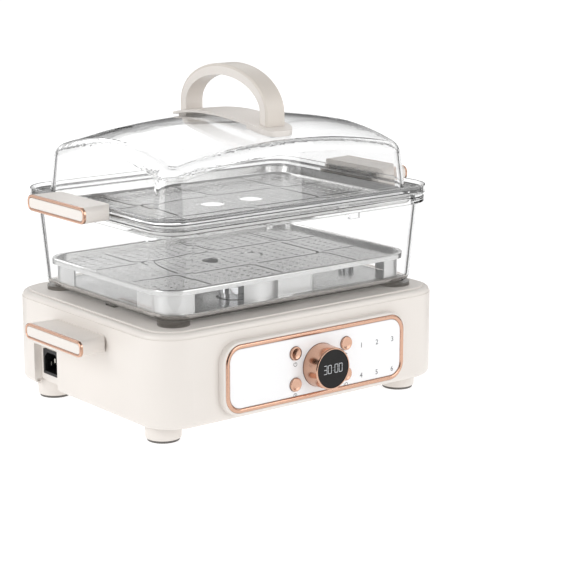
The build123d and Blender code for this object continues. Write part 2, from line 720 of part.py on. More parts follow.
def display_holder():
    """Fixed stalk inside the sleeve: a cup that stands on the board and holds the display."""
    radius = knob_bore() - TURN_GAP
    front = FACE_FRONT - KNOB_STANDOUT + LENS_RECESS + LENS_THICKNESS
    holder = rod_y(KNOB_X, KNOB_Z, front, BOARD_FRONT, radius)
    return holder - rod_y(KNOB_X, KNOB_Z, front + HOUSING_WALL, BOARD_FRONT, radius - KNOB_WALL)


def display_lens():
    """Black window over the display."""
    front = FACE_FRONT - KNOB_STANDOUT + LENS_RECESS
    return rod_y(KNOB_X, KNOB_Z, front, front + LENS_THICKNESS, knob_bore() - TURN_GAP)


def encoder():
    """Ring encoder on the board, just behind the sleeve's flange."""
    back = BOARD_FRONT
    ring = rod_y(KNOB_X, KNOB_Z, back - ENCODER_THICKNESS, back, ENCODER_RADIUS)
    return ring - rod_y(KNOB_X, KNOB_Z, back - ENCODER_THICKNESS, back, knob_bore() - TURN_GAP + FIT_GAP)


# ================================================================ mains inlet
def inlet_body(gap):
    """The inlet's block behind its flange, grown by a gap for the hole that takes it."""
    face = -HOUSING_SIDE + POCKET_DEPTH
    return side_slab(
        INLET_WIDTH - 2 * INLET_FLANGE + 2 * gap,
        INLET_HEIGHT - 2 * INLET_FLANGE + 2 * gap,
        INLET_FLANGE,
        POCKET_Y,
        INLET_Z,
        face,
        face + INLET_DEPTH,
    )


def inlet_socket():
    """Black inlet with a flange and a socket whose two upper corners are cut."""
    face = -HOUSING_SIDE + POCKET_DEPTH
    block = inlet_body(0)
    block += side_slab(INLET_WIDTH, INLET_HEIGHT, INLET_FLANGE, POCKET_Y, INLET_Z, face - INLET_FLANGE, face)
    half = INLET_WIDTH / 2 - INLET_WALL
    top = INLET_HEIGHT / 2 - INLET_WALL
    outline = Polyline(
        (-half, -top),
        (half, -top),
        (half, top - SOCKET_CHAMFER),
        (half - SOCKET_CHAMFER, top),
        (SOCKET_CHAMFER - half, top),
        (-half, top - SOCKET_CHAMFER),
        close=True,
    )
    mouth = Plane(origin=(face - INLET_FLANGE, POCKET_Y, INLET_Z), x_dir=(0, 1, 0), z_dir=(1, 0, 0))
    return block - extrude(mouth * make_face(outline), SOCKET_DEPTH)


def inlet_pins():
    """The two line pins and the earth pin, standing on the socket's floor."""
    floor = -HOUSING_SIDE + POCKET_DEPTH - INLET_FLANGE + SOCKET_DEPTH
    places = [(-PIN_SPACING / 2, -PIN_OFFSET / 2), (PIN_SPACING / 2, -PIN_OFFSET / 2), (0, PIN_OFFSET / 2)]
    pins = []
    for y, z in places:
        place = Pos(floor - PIN_LENGTH / 2, POCKET_Y + y, INLET_Z + z)
        pins.append(place * Box(PIN_LENGTH, PIN_WIDTH, PIN_HEIGHT))
    return joined(pins)


# ================================================================ side handles
def handle_screw_places(y, z):
    """Places (y, z) of a handle's two screws."""
    return [(y + side * HANDLE_SCREW_SPACING / 2, z) for side in (-1, 1)]


def handle_grip(seat, reach, y, z):
    """Left-hand grip: it narrows to its seat, where its ends are rounded off, and carries the ring."""
    outer = seat - reach
    sections = []
    for x, loss in ((outer, 0), (seat, 2 * HANDLE_NARROWING)):
        plane = Plane(origin=(x, y, z), x_dir=(0, 1, 0), z_dir=(1, 0, 0))
        sections.append(plane * RectangleRounded(HANDLE_LENGTH - loss, HANDLE_HEIGHT, HANDLE_CORNER))
    grip = loft(sections)
    plan = RectangleRounded(2 * reach, HANDLE_LENGTH, HANDLE_ROOT_CORNER)
    grip &= Pos(outer, y, z - HANDLE_HEIGHT) * extrude(plan, 2 * HANDLE_HEIGHT)
    return grip - handle_strip(outer, y, z, INSERT_GAP, 0)


def handle_strip(outer, y, z, proud, margin):
    """Rounded strip on a left-hand grip's outer face, a margin inside its outline."""
    length = HANDLE_LENGTH - 2 * margin
    height = HANDLE_HEIGHT - 2 * margin
    return side_slab(
        length, height, HANDLE_CORNER - margin, y, z, outer - proud, outer + HANDLE_RING_DEPTH
    )


def handle_ring(outer, y, z):
    """Half-round ring round the outer face of a left-hand grip."""
    ring = handle_strip(outer, y, z, HANDLE_RING_PROUD, 0)
    ring -= handle_strip(outer, y, z, HANDLE_RING_PROUD, HANDLE_RING)
    return fillet(ring.faces().sort_by(Axis.X)[0].edges(), HANDLE_RING_ROUND)


def handle_insert(outer, y, z):
    """Smooth strip inside the ring of a left-hand grip, with its edge rounded."""
    insert = handle_strip(outer, y, z, INSERT_GAP, HANDLE_RING + INSERT_GAP)
    return fillet(insert.faces().sort_by(Axis.X)[0].edges(), INSERT_ROUND)


def handle_nodes(name, seat, reach, y, z, cut):
    """Grip, ring and insert for both sides, as {node: part}; cut is taken out of the grip."""
    outer = seat - reach
    grip = handle_grip(seat, reach, y, z) - cut
    ring = handle_ring(outer, y, z)
    insert = handle_insert(outer, y, z)
    nodes = {}
    for piece, part in (("handle", grip), ("handle_trim", ring), ("handle_insert", insert)):
        nodes[f"{name}_{piece}_left"] = part
        nodes[f"{name}_{piece}_right"] = mirror(part, about=Plane.YZ)
    return nodes


def side_screw(y, z):
    """Screw from inside the tub's left wall into the grip."""
    inner = -HOUSING_SIDE + HOUSING_WALL
    head = Pos(inner + SCREW_HEAD_HEIGHT / 2, y, z) * Rot(0, 90, 0)
    shank = Pos(inner - HANDLE_STANDOUT / 4, y, z) * Rot(0, 90, 0)
    return head * Cylinder(SCREW_HEAD_RADIUS, SCREW_HEAD_HEIGHT) + shank * Cylinder(
        SCREW_RADIUS, HANDLE_STANDOUT / 2
    )


def base_handle_screws():
    """Two screws for each base handle."""
    left = [side_screw(y, z) for y, z in handle_screw_places(HANDLE_Y, BASE_HANDLE_Z)]
    return joined(left + [mirror(screw, about=Plane.YZ) for screw in left])


def base_handle_bores():
    """Blind holes in the left base handle for its screws."""
    bores = Part()
    for y, z in handle_screw_places(HANDLE_Y, BASE_HANDLE_Z):
        place = Pos(-HOUSING_SIDE - HANDLE_STANDOUT / 4, y, z) * Rot(0, 90, 0)
        bores += place * Cylinder(SCREW_RADIUS, HANDLE_STANDOUT / 2)
    return bores


# ================================================================ steam box
def box_inner_growth(height):
    """How far the box's wall has moved out at a height above its bottom."""
    return height * BOX_SLOPE


def ear(gap):
    """Lug of the box's rim inside the left grip, grown by a gap."""
    reach = EAR_REACH + RIM_LIP
    block = Box(reach + gap, EAR_LENGTH + 2 * gap, EAR_THICKNESS + 2 * gap)
    return Pos(-RIM_LENGTH / 2 - EAR_REACH / 2 + RIM_LIP / 2 - gap / 2, HANDLE_Y, BOX_HANDLE_Z) * block


def rim_band(inset, low, high):
    """One band of the stepped rim, as a full block."""
    return slab(
        RIM_LENGTH - 2 * inset, RIM_DEPTH - 2 * inset, RIM_CORNER - inset, low, high, BOX_Y
    )


def box_lugs():
    """Round lugs under the corners and short ones under the middles of the sides."""
    lugs = Part()
    x = BOX_LENGTH / 2 - LUG_INSET
    y = BOX_DEPTH / 2 - LUG_INSET
    for sx, sy in four_corners(x, y):
        lugs += rod(sx, BOX_Y + sy, DECK, BOX_BOTTOM, LUG_RADIUS)
    for side in (-1, 1):
        place = Pos(side * (BOX_LENGTH / 2 - BOX_BOTTOM_EDGE - SIDE_LUG_WIDTH / 2), BOX_Y, DECK)
        lugs += place * extrude(Rectangle(SIDE_LUG_WIDTH, SIDE_LUG_LENGTH), LUG_HEIGHT)
    return lugs


def steam_box():
    """Clear tapered box with a rounded bottom, a stepped rim with an inner ledge, lugs and ears."""
    outside = drafted(BOX_LENGTH, BOX_DEPTH, BOX_CORNER, BOX_BOTTOM, BOX_HEIGHT, -BOX_DRAFT, BOX_Y)
    outside = round_bottom(outside, BOX_BOTTOM_EDGE)
    upper_low = BOX_TOP - LIP_HEIGHT
    lower_high = upper_low - RIM_GROOVE
    upper = rim_band(0, upper_low, BOX_TOP)
    upper = fillet(upper.edges().group_by(Axis.Z)[0] + upper.edges().group_by(Axis.Z)[-1], RIM_EDGE)
    lower = rim_band(RIM_EDGE, lower_high - LOWER_BAND, lower_high)
    lower = fillet(lower.edges().group_by(Axis.Z)[0] + lower.edges().group_by(Axis.Z)[-1], RIM_EDGE)
    neck = rim_band(RIM_GROOVE_DEPTH, lower_high - RIM_EDGE, upper_low + RIM_EDGE)
    box = outside + upper + lower + neck
    growth = box_inner_growth(BOX_FLOOR)
    cavity = drafted(
        BOX_LENGTH + 2 * (growth - BOX_WALL),
        BOX_DEPTH + 2 * (growth - BOX_WALL),
        BOX_CORNER - BOX_WALL,
        BOX_INSIDE,
        BOX_HEIGHT,
        -BOX_DRAFT,
        BOX_Y,
    )
    box -= round_bottom(cavity, BOX_BOTTOM_EDGE - BOX_WALL)
    box -= rim_band(RIM_LIP, LEDGE, BOX_TOP)
    box += box_lugs()
    for about in (0, 1):
        lug = ear(0)
        box += mirror(lug, about=Plane.YZ) if about else lug
    for side in (-1, 1):
        stop = Pos(side * STOP_X, BOX_Y + side * (RIM_DEPTH / 2 - RIM_LIP), lower_high - LOWER_BAND)
        box += stop * Pos(0, 0, -STOP_HEIGHT / 2 + RIM_EDGE / 2) * Box(
            STOP_LENGTH, RIM_LIP, STOP_HEIGHT + RIM_EDGE
        )
    box -= rod(TURRET_X, TURRET_Y, DECK, FLOOR_PLATE_TOP, TURRET_RADIUS + TURRET_HOLE_GAP)
    box -= rod(DRAIN_X, DRAIN_Y, DECK, BOX_INSIDE, DRAIN_STEM + SEAT_GAP)
    return box


def box_handle_screws():
    """Two screws up through each box handle into its ear."""
    screws = []
    x = RIM_LENGTH / 2 + EAR_REACH / 2
    head = BOX_HANDLE_Z - HANDLE_HEIGHT / 2
    length = HANDLE_HEIGHT / 2 + EAR_THICKNESS / 4 - SCREW_HEAD_HEIGHT
    for side in (-1, 1):
        for y, _ in handle_screw_places(HANDLE_Y, BOX_HANDLE_Z):
            screws.append(upright_screw(side * x, y, head, length, True))
    return joined(screws)


def box_screw_space():
    """What the left grip and its ear give up to their screws."""
    space = Part()
    x = -RIM_LENGTH / 2 - EAR_REACH / 2
    head = BOX_HANDLE_Z - HANDLE_HEIGHT / 2
    for y, _ in handle_screw_places(HANDLE_Y, BOX_HANDLE_Z):
        space += rod(x, y, head, head + SCREW_HEAD_HEIGHT, SCREW_HEAD_RADIUS + FIT_GAP)
        space += rod(x, y, head, BOX_HANDLE_Z + EAR_THICKNESS / 4, SCREW_RADIUS)
    return space


def floor_plate():
    """Thin steel plate on the box's floor, with its front edge stepped back on the right."""
    growth = box_inner_growth(BOX_FLOOR)
    margin = BOX_BOTTOM_EDGE + FLOOR_PLATE_GAP - growth
    length = BOX_LENGTH - 2 * margin
    depth = BOX_DEPTH - 2 * margin
    plate = slab(length, depth, FLOOR_PLATE_CORNER, BOX_INSIDE, FLOOR_PLATE_TOP, BOX_Y)
    step = Box(length, FLOOR_STEP, FLOOR_PLATE_THICKNESS)
    step_y = BOX_Y - depth / 2 + FLOOR_STEP / 2
    plate -= Pos(length / 2, step_y, BOX_INSIDE + FLOOR_PLATE_THICKNESS / 2) * step
    plate -= rod(TURRET_X, TURRET_Y, BOX_INSIDE, FLOOR_PLATE_TOP, TURRET_RADIUS + TURRET_HOLE_GAP)
    return plate - rod(DRAIN_X, DRAIN_Y, BOX_INSIDE, FLOOR_PLATE_TOP, DRAIN_STEM + FIT_GAP)


def drain_plug():
    """Chrome plug on the floor plate, with a grooved head and a stem through the box's floor."""
    low, high = FLOOR_PLATE_TOP, FLOOR_PLATE_TOP + DRAIN_HEIGHT
    middle = (low + high) / 2
    plug = rod(DRAIN_X, DRAIN_Y, low, high, DRAIN_RADIUS)
    plug = round_top(plug, DRAIN_GROOVE)
    groove = rod(DRAIN_X, DRAIN_Y, middle, middle + DRAIN_GROOVE, DRAIN_RADIUS)
    groove -= rod(DRAIN_X, DRAIN_Y, middle, middle + DRAIN_GROOVE, DRAIN_RADIUS - DRAIN_GROOVE)
    return plug - groove + rod(DRAIN_X, DRAIN_Y, BOX_BOTTOM, low, DRAIN_STEM)


# ================================================================ steam turret
def steam_outlet():
    """Chrome turret that stands on the deck: a neck, a wide body and a bored shank to its nut."""
    body_low = FLOOR_PLATE_TOP + NECK_HEIGHT
    body_high = TURRET_TOP - CAP_HEIGHT - GASKET_THICKNESS
    turret = rod(TURRET_X, TURRET_Y, DECK, body_low, TURRET_NECK)
    body = rod(TURRET_X, TURRET_Y, body_low, body_high, TURRET_RADIUS)
    turret += round_bottom(round_top(body, CAP_EDGE), CAP_EDGE)
    shank_end = DECK - DECK_THICKNESS - NUT_THICKNESS * 2
    turret += rod(TURRET_X, TURRET_Y, shank_end, DECK, TURRET_BORE + TUBE_WALL)
    return turret - rod(TURRET_X, TURRET_Y, shank_end, body_high, TURRET_BORE)


def outlet_gasket():
    """Black ring between the turret and its cap."""
    low = TURRET_TOP - CAP_HEIGHT - GASKET_THICKNESS
    ring = rod(TURRET_X, TURRET_Y, low, low + GASKET_THICKNESS, GASKET_RADIUS)
    return ring - rod(TURRET_X, TURRET_Y, low, low + GASKET_THICKNESS, TURRET_BORE)


def outlet_cap():
    """Top of the turret, with a ring of steam holes over the bore's chamber."""
    low = TURRET_TOP - CAP_HEIGHT
    cap = rod(TURRET_X, TURRET_Y, low, TURRET_TOP, CAP_RADIUS)
    cap = chamfer(cap.faces().sort_by(Axis.Z)[-1].edges(), CAP_EDGE)
    cap -= rod(TURRET_X, TURRET_Y, low, low + CAP_HEIGHT / 2, STEAM_HOLE_CIRCLE + 2 * STEAM_HOLE_RADIUS)
    for index in range(STEAM_HOLE_COUNT):
        angle = 2 * math.pi * index / STEAM_HOLE_COUNT
        x = TURRET_X + STEAM_HOLE_CIRCLE * math.cos(angle)
        y = TURRET_Y + STEAM_HOLE_CIRCLE * math.sin(angle)
        cap -= rod(x, y, low, TURRET_TOP, STEAM_HOLE_RADIUS)
    return cap


def outlet_nut():
    """Ring nut that clamps the turret under the deck."""
    high = DECK - DECK_THICKNESS
    shank = TURRET_BORE + TUBE_WALL
    nut = Pos(TURRET_X, TURRET_Y, high - NUT_THICKNESS) * extrude(
        RegularPolygon(shank + NUT_THICKNESS, 6), NUT_THICKNESS
    )
    return nut - rod(TURRET_X, TURRET_Y, high - NUT_THICKNESS, high, shank)


# ================================================================ racks
def crease_lines(half_length, half_depth):
    """Centre lines of the pressed creases: a pinwheel of rounded L shapes round the middle field."""
    x, y = FIELD_LENGTH / 2, FIELD_DEPTH / 2
    end_x, end_y = half_length - CREASE_END, half_depth - CREASE_END
    quarter = [
        [(-end_x, -y + FIELD_GAP), (-x - FIELD_GAP, -y + FIELD_GAP), (-x - FIELD_GAP, -end_y)],
        [(-x + FIELD_GAP, -y), (-FIELD_GAP, -y), (-FIELD_GAP, -end_y)],
        [(FIELD_GAP, -y), (x + FIELD_GAP, -y), (x + FIELD_GAP, -end_y)],
        [(-x, -y + 2 * FIELD_GAP), (-x, y), (-FIELD_GAP, y)],
        [(-end_x, y - FIELD_GAP), (-x - FIELD_GAP, y - FIELD_GAP)],
    ]
    return quarter + [[(-px, -py) for px, py in line] for line in quarter]


def crease_sketch(half_length, half_depth, width):
    """The creases as a flat sketch of a given width."""
    sketch = Sketch()
    for points in crease_lines(half_length, half_depth):
        path = FilletPolyline(*points, radius=CREASE_CORNER) if len(points) > 2 else Polyline(*points)
        sketch += trace(path, line_width=width)
    return sketch


def finger_hole_places():
    """X of the two finger holes, from the pattern's middle."""
    return [-FINGER_HOLE_SPACING / 2, FINGER_HOLE_SPACING / 2]


def drain_hole_places(half_length, half_depth):
    """Places (x, y) of the small holes: a staggered field that keeps clear of creases and finger holes."""
    room = DRAIN_HOLE_RADIUS + DRAIN_HOLE_MARGIN
    field = RectangleRounded(2 * (half_length - room), 2 * (half_depth - room), RACK_CORNER)
    pressed = crease_sketch(half_length, half_depth, CREASE_WIDTH + SHEET + 2 * room)
    for x in finger_hole_places():
        pressed += Pos(x, 0) * Circle(FINGER_HOLE_RADIUS + room)
    field -= Pos(PATTERN_X, 0) * pressed
    columns = range(-int(half_length / DRAIN_HOLE_PITCH) - 1, int(half_length / DRAIN_HOLE_PITCH) + 1)
    rows = range(-int(half_depth / DRAIN_HOLE_PITCH) - 1, int(half_depth / DRAIN_HOLE_PITCH) + 1)
    lattice = [(column + shift, row + shift) for shift in (0, 0.5) for column in columns for row in rows]
    places = [(column * DRAIN_HOLE_PITCH, row * DRAIN_HOLE_PITCH) for column, row in lattice]
    return [(x, y) for x, y in places if any(face.is_inside(Vector(x, y, 0)) for face in field.faces())]


def pressed_floor(floor, half_length, half_depth, top):
    """Presses the creases into a sheet floor and cuts its small holes and its two finger holes."""
    place = Pos(PATTERN_X, BOX_Y, 0)
    ridge = extrude(crease_sketch(half_length, half_depth, CREASE_WIDTH + SHEET), -CREASE_DEPTH)
    channel = extrude(crease_sketch(half_length, half_depth, CREASE_WIDTH), -CREASE_DEPTH)
    floor += place * Pos(0, 0, top - SHEET) * ridge
    floor -= place * Pos(0, 0, top) * channel
    for x in finger_hole_places():
        floor -= rod(PATTERN_X + x, BOX_Y, top - SHEET - CREASE_DEPTH, top, FINGER_HOLE_RADIUS)
    punch = extrude(RegularPolygon(DRAIN_HOLE_RADIUS, DRAIN_HOLE_SIDES), -SHEET)
    punches = [Pos(x, BOX_Y + y, top) * punch for x, y in drain_hole_places(half_length, half_depth)]
    return floor - punches


def lower_rack():
    """Pressed steel rack with a rolled bead round its edge."""
    top = RACK_FLOOR_TOP + BEAD_RISE
    bead = slab(RACK_LENGTH, RACK_DEPTH, RACK_CORNER, RACK_FLOOR, top, BOX_Y)
    bead -= slab(
        RACK_LENGTH - 2 * BEAD_WIDTH,
        RACK_DEPTH - 2 * BEAD_WIDTH,
        RACK_CORNER - BEAD_WIDTH,
        RACK_FLOOR_TOP,
        top,
        BOX_Y,
    )
    bead = fillet(bead.faces().sort_by(Axis.Z)[-1].edges(), BEAD_EDGE)
    half_length = RACK_LENGTH / 2 - BEAD_WIDTH
    half_depth = RACK_DEPTH / 2 - BEAD_WIDTH
    return pressed_floor(bead, half_length, half_depth, RACK_FLOOR_TOP)


def leg_ring():
    """Outline of the sheet that the corner legs are cut from."""
    length = RACK_LENGTH - 2 * LEG_INSET
    depth = RACK_DEPTH - 2 * LEG_INSET
    corner = RACK_CORNER - LEG_INSET
    outer = RectangleRounded(length, depth, corner)
    return outer - RectangleRounded(length - 2 * SHEET, depth - 2 * SHEET, corner - SHEET)


def rack_legs():
    """Four curved corner legs and two middle legs, each with rolled upright edges."""
    height = RACK_FLOOR - FLOOR_PLATE_TOP
    length = RACK_LENGTH - 2 * LEG_INSET
    depth = RACK_DEPTH - 2 * LEG_INSET
    legs = []
    for sx, sy in four_corners(1, 1):
        window = Pos(
            sx * (length - LEG_ON_LONG_SIDE) / 2, sy * (depth - LEG_ON_SHORT_SIDE) / 2
        ) * Rectangle(LEG_ON_LONG_SIDE, LEG_ON_SHORT_SIDE)
        outline = leg_ring() & window
        outline += Pos(sx * (length / 2 - LEG_ON_LONG_SIDE), sy * (depth - SHEET) / 2) * Circle(HEM_RADIUS)
        outline += Pos(sx * (length - SHEET) / 2, sy * (depth / 2 - LEG_ON_SHORT_SIDE)) * Circle(HEM_RADIUS)
        legs.append(extrude(outline, height))
    legs += [extrude(middle_leg(depth), height), extrude(Rot(0, 0, 180) * middle_leg(depth), height)]
    return Pos(0, BOX_Y, FLOOR_PLATE_TOP) * joined(legs)


def middle_leg(depth):
    """Plan of the front middle leg: a bulged half and a flat half."""
    front = -depth / 2
    left = MIDDLE_LEG_X - MIDDLE_LEG_LENGTH / 2
    crease = left + MIDDLE_LEG_BULGE
    flat_length = MIDDLE_LEG_LENGTH - MIDDLE_LEG_BULGE
    sag = BULGE_RADIUS - math.sqrt(BULGE_RADIUS**2 - (MIDDLE_LEG_BULGE / 2) ** 2)
    centre = Pos((left + crease) / 2, front + BULGE_RADIUS)
    ring = centre * (Circle(BULGE_RADIUS) - Circle(BULGE_RADIUS - SHEET))
    bulge = ring & Pos((left + crease) / 2, front + sag / 2) * Rectangle(MIDDLE_LEG_BULGE, sag)
    flat = Pos(crease + flat_length / 2, front + sag - SHEET / 2) * Rectangle(flat_length + SHEET, SHEET)
    hem = Pos(crease + flat_length, front + sag - SHEET / 2) * Circle(HEM_RADIUS)
    return bulge + flat + hem


def upper_tray():
    """Pressed steel tray that hangs by its flat rim on the box's ledge."""
    low = LEDGE - TRAY_DROP
    height = LEDGE + SHEET - low
    bottom_growth = height * math.tan(math.radians(TRAY_DRAFT))
    length = TRAY_LENGTH - 2 * bottom_growth
    depth = TRAY_DEPTH - 2 * bottom_growth
    corner = TRAY_CORNER - bottom_growth / 2
    tray = drafted(length, depth, corner, low, height, -TRAY_DRAFT, BOX_Y)
    tray = round_bottom(tray, TRAY_FLOOR_EDGE)
    tray += slab(BRIM_LENGTH, BRIM_DEPTH, BRIM_CORNER, LEDGE, LEDGE + SHEET, BOX_Y)
    inside = drafted(length - 2 * SHEET, depth - 2 * SHEET, corner - SHEET, low, height, -TRAY_DRAFT, BOX_Y)
    inside = round_bottom(inside, TRAY_FLOOR_EDGE - SHEET)
    tray -= Pos(0, 0, SHEET) * inside
    return pressed_floor(tray, length / 2 - TRAY_FLOOR_EDGE, depth / 2 - TRAY_FLOOR_EDGE, low + SHEET)


# ================================================================ lid
def barrel(lift):
    """Space under the lid's crown, curved both ways, with its top raised by a lift."""
    crown = LID_CROWN + lift
    radius_x = CROWN_RADIUS_X + lift
    half = LID_LENGTH / 2 + BRIM_THICKNESS
    edge = crown - radius_x + math.sqrt(radius_x**2 - half**2)
    axis = LID_CROWN - CROWN_RADIUS_Y
    top = ThreePointArc((-half, edge), (0, crown), (half, edge))
    sides = Polyline((half, edge), (half, axis), (-half, axis), (-half, edge))
    face = Plane.XZ * make_face(top + sides)
    body = revolve(face, axis=Axis((0, 0, axis), (1, 0, 0)), revolution_arc=360)
    return Pos(0, BOX_Y, 0) * body


def dome(offset):
    """The dome as a full body, shrunk by an offset all round."""
    slope = math.tan(math.radians(LID_DRAFT))
    shrink = offset / math.cos(math.radians(LID_DRAFT))
    height = LID_CROWN - BRIM_BOTTOM + BRIM_THICKNESS
    lean = slope * (BRIM_TOP - BRIM_BOTTOM)
    block = drafted(
        LID_LENGTH + 2 * (lean - shrink),
        LID_DEPTH + 2 * (lean - shrink),
        LID_CORNER + lean - shrink,
        BRIM_BOTTOM,
        height,
        LID_DRAFT,
        BOX_Y,
    )
    body = block & barrel(-offset)
    crown = body.faces().sort_by(Axis.Z)[-1]
    return fillet(crown.edges(), LID_SHOULDER - offset)


def lid_dome():
    """Clear dome with an out-turned brim, the steam vent and the handle's screw holes."""
    brim = slab(BRIM_LENGTH, BRIM_DEPTH, BRIM_CORNER, BRIM_BOTTOM, BRIM_TOP, BOX_Y)
    brim = fillet(brim.edges().group_by(Axis.Z)[-1], BRIM_EDGE)
    lid = brim + dome(0) - dome(LID_WALL)
    x, y = VENT_DISH_X, BOX_Y + VENT_DISH_Y
    dish = rod(x, y, BRIM_TOP, LID_CROWN, VENT_DISH_RADIUS) - barrel(-VENT_DISH_DEPTH)
    lid -= dish
    lid -= rod(x, y, BRIM_TOP, LID_CROWN, VENT_HOLE_RADIUS)
    for y in handle_leg_places():
        lid -= rod(0, y, BRIM_TOP, LID_CROWN, SCREW_RADIUS + FIT_GAP)
    return lid


def handle_leg_places():
    """Y of the arch's two legs."""
    reach = (ARCH_SPAN - ARCH_THICKNESS) / 2
    return [LID_HANDLE_Y - reach, LID_HANDLE_Y + reach]


def arch_profile(inset):
    """Front-to-back outline of the arch, shrunk by an inset: an elliptic top on straight legs."""
    half = ARCH_SPAN / 2 - inset
    rise = ARCH_RISE - inset
    drop = ARCH_SPRING - LID_CROWN + LEAF_LENGTH / 4
    top = Ellipse(half, rise) & Pos(0, rise / 2) * Rectangle(2 * half, rise)
    return top + Pos(0, -drop / 2) * Rectangle(2 * half, drop)


def arch(outer, inner, width):
    """Band of the arch between two insets."""
    band = arch_profile(outer) - arch_profile(inner)
    body = extrude(Plane.YZ * band, width / 2, both=True)
    return Pos(0, LID_HANDLE_Y, ARCH_SPRING) * body


def lid_handle():
    """Inner body of the arch, with rounded inner edges, standing on the leaf."""
    body = arch(CAP_STRIP, ARCH_THICKNESS, ARCH_WIDTH)
    middle = Vector(0, LID_HANDLE_Y, ARCH_SPRING)
    inner = body.faces().sort_by_distance(middle)[0]
    body = fillet(inner.edges().filter_by(GeomType.LINE, reverse=True), ARCH_EDGE)
    body -= barrel(LEAF_TOP + SEAT_GAP)
    for y in handle_leg_places():
        body -= rod(0, y, BRIM_TOP, ARCH_SPRING, SCREW_RADIUS)
    return body


def lid_handle_cap():
    """Outer strip of the arch, rounded along its edges, which clips over the inner body."""
    strip = arch(0, CAP_STRIP, ARCH_WIDTH)
    crest = strip.faces().sort_by(Axis.Z)[-1]
    strip = fillet(crest.edges().filter_by(GeomType.LINE, reverse=True), ARCH_EDGE)
    return strip - barrel(LEAF_TOP + SEAT_GAP)


def leaf_outline(inset):
    """Plan of the leaf: two bowed sides and rounded ends."""
    half_length = LEAF_LENGTH / 2 - inset
    half_end = LEAF_END_WIDTH / 2 - inset
    half_middle = LEAF_MIDDLE_WIDTH / 2 - inset
    right = ThreePointArc((half_end, -half_length), (half_middle, 0), (half_end, half_length))
    rear = Line((half_end, half_length), (-half_end, half_length))
    left = ThreePointArc((-half_end, half_length), (-half_middle, 0), (-half_end, -half_length))
    front = Line((-half_end, -half_length), (half_end, -half_length))
    outline = make_face(right + rear + left + front)
    return fillet(outline.vertices(), LEAF_END_ROUND - inset)


def lid_handle_base():
    """Leaf-shaped plate that follows the crown, on a full-width toe and on a foot under the rear leg."""
    floor = LID_CROWN - LEAF_LENGTH / 4
    place = Pos(0, LID_HANDLE_Y, floor)
    column = place * extrude(leaf_outline(0), LEAF_LENGTH / 2)
    leaf = (column & barrel(LEAF_TOP)) - barrel(LEAF_LIFT)
    toe_y = (LEAF_FOOT_LENGTH - LEAF_LENGTH) / 2
    toe = leaf_outline(0) & Pos(0, toe_y) * Rectangle(LEAF_MIDDLE_WIDTH, LEAF_FOOT_LENGTH)
    heel = Rectangle(ARCH_WIDTH + REAR_FOOT_MARGIN, ARCH_THICKNESS + REAR_FOOT_MARGIN)
    heel = Pos(0, handle_leg_places()[-1] - LID_HANDLE_Y) * heel
    feet_plan = extrude(toe, LEAF_LENGTH / 2) + extrude(heel, LEAF_LENGTH / 2)
    leaf += (place * feet_plan & barrel(LEAF_LIFT + LEAF_THICKNESS / 2)) - barrel(SEAT_GAP)
    for y in handle_leg_places():
        leaf -= rod(0, y, floor, LID_CROWN + LEAF_TOP, SCREW_RADIUS + FIT_GAP)
    return leaf


def crown_height(y, lift):
    """Height of the crown's surface on the middle line, raised by a lift."""
    radius = CROWN_RADIUS_Y + lift
    return LID_CROWN - CROWN_RADIUS_Y + math.sqrt(radius**2 - (y - BOX_Y) ** 2)


def lid_handle_washers():
    """Two washers between the screws and the inside of the dome."""
    washers = []
    for y in handle_leg_places():
        top = lowest_inside(y)
        ring = rod(0, y, top - WASHER_THICKNESS, top, WASHER_RADIUS)
        washers.append(ring - rod(0, y, top - WASHER_THICKNESS, top, SCREW_RADIUS + FIT_GAP))
    return joined(washers)


def lowest_inside(y):
    """Height of the dome's inner face at the outer edge of a washer."""
    outward = WASHER_RADIUS if y > BOX_Y else -WASHER_RADIUS
    return crown_height(y + outward, -LID_WALL) - SEAT_GAP


def lid_handle_screws():
    """Two screws up through the dome and the leaf into the legs of the arch."""
    screws = []
    for y in handle_leg_places():
        head = lowest_inside(y) - WASHER_THICKNESS - SCREW_HEAD_HEIGHT
        length = ARCH_SPRING - head - SCREW_HEAD_HEIGHT
        screws.append(upright_screw(0, y, head, length, True))
    return joined(screws)


# ================================================================ steam maker
def boiler_places(radius, count, turn):
    """Places on a circle round the boiler's middle."""
    angles = [2 * math.pi * (index + turn) / count for index in range(count)]
    return [(TURRET_X + radius * math.cos(a), BOILER_Y + radius * math.sin(a)) for a in angles]


def boiler_post_places():
    """Posts under the boiler."""
    return boiler_places(BOILER_RADIUS - BOILER_WALL - POST_RADIUS, 3, 0.5)


def power_post_places():
    """Posts under the power board."""
    x, y = POWER_BOARD_LENGTH / 2 - POST_INSET, POWER_BOARD_DEPTH / 2 - POST_INSET
    return [(POWER_BOARD_X + px, POWER_BOARD_Y + py) for px, py in four_corners(x, y)]


def boiler_levels():
    """Bottom and top of the boiler's pot."""
    low = PLATE_TOP + BOILER_STANDOFF
    return low, low + BOILER_HEIGHT


def boiler():
    """Cast pot that boils the water."""
    low, high = boiler_levels()
    pot = rod(TURRET_X, BOILER_Y, low, high, BOILER_RADIUS)
    pot = round_bottom(pot, BOILER_WALL)
    inside = rod(TURRET_X, BOILER_Y, low + 2 * ELEMENT_TUBE + BOILER_WALL, high, BOILER_RADIUS - BOILER_WALL)
    return pot - inside - heating_ring(FIT_GAP)


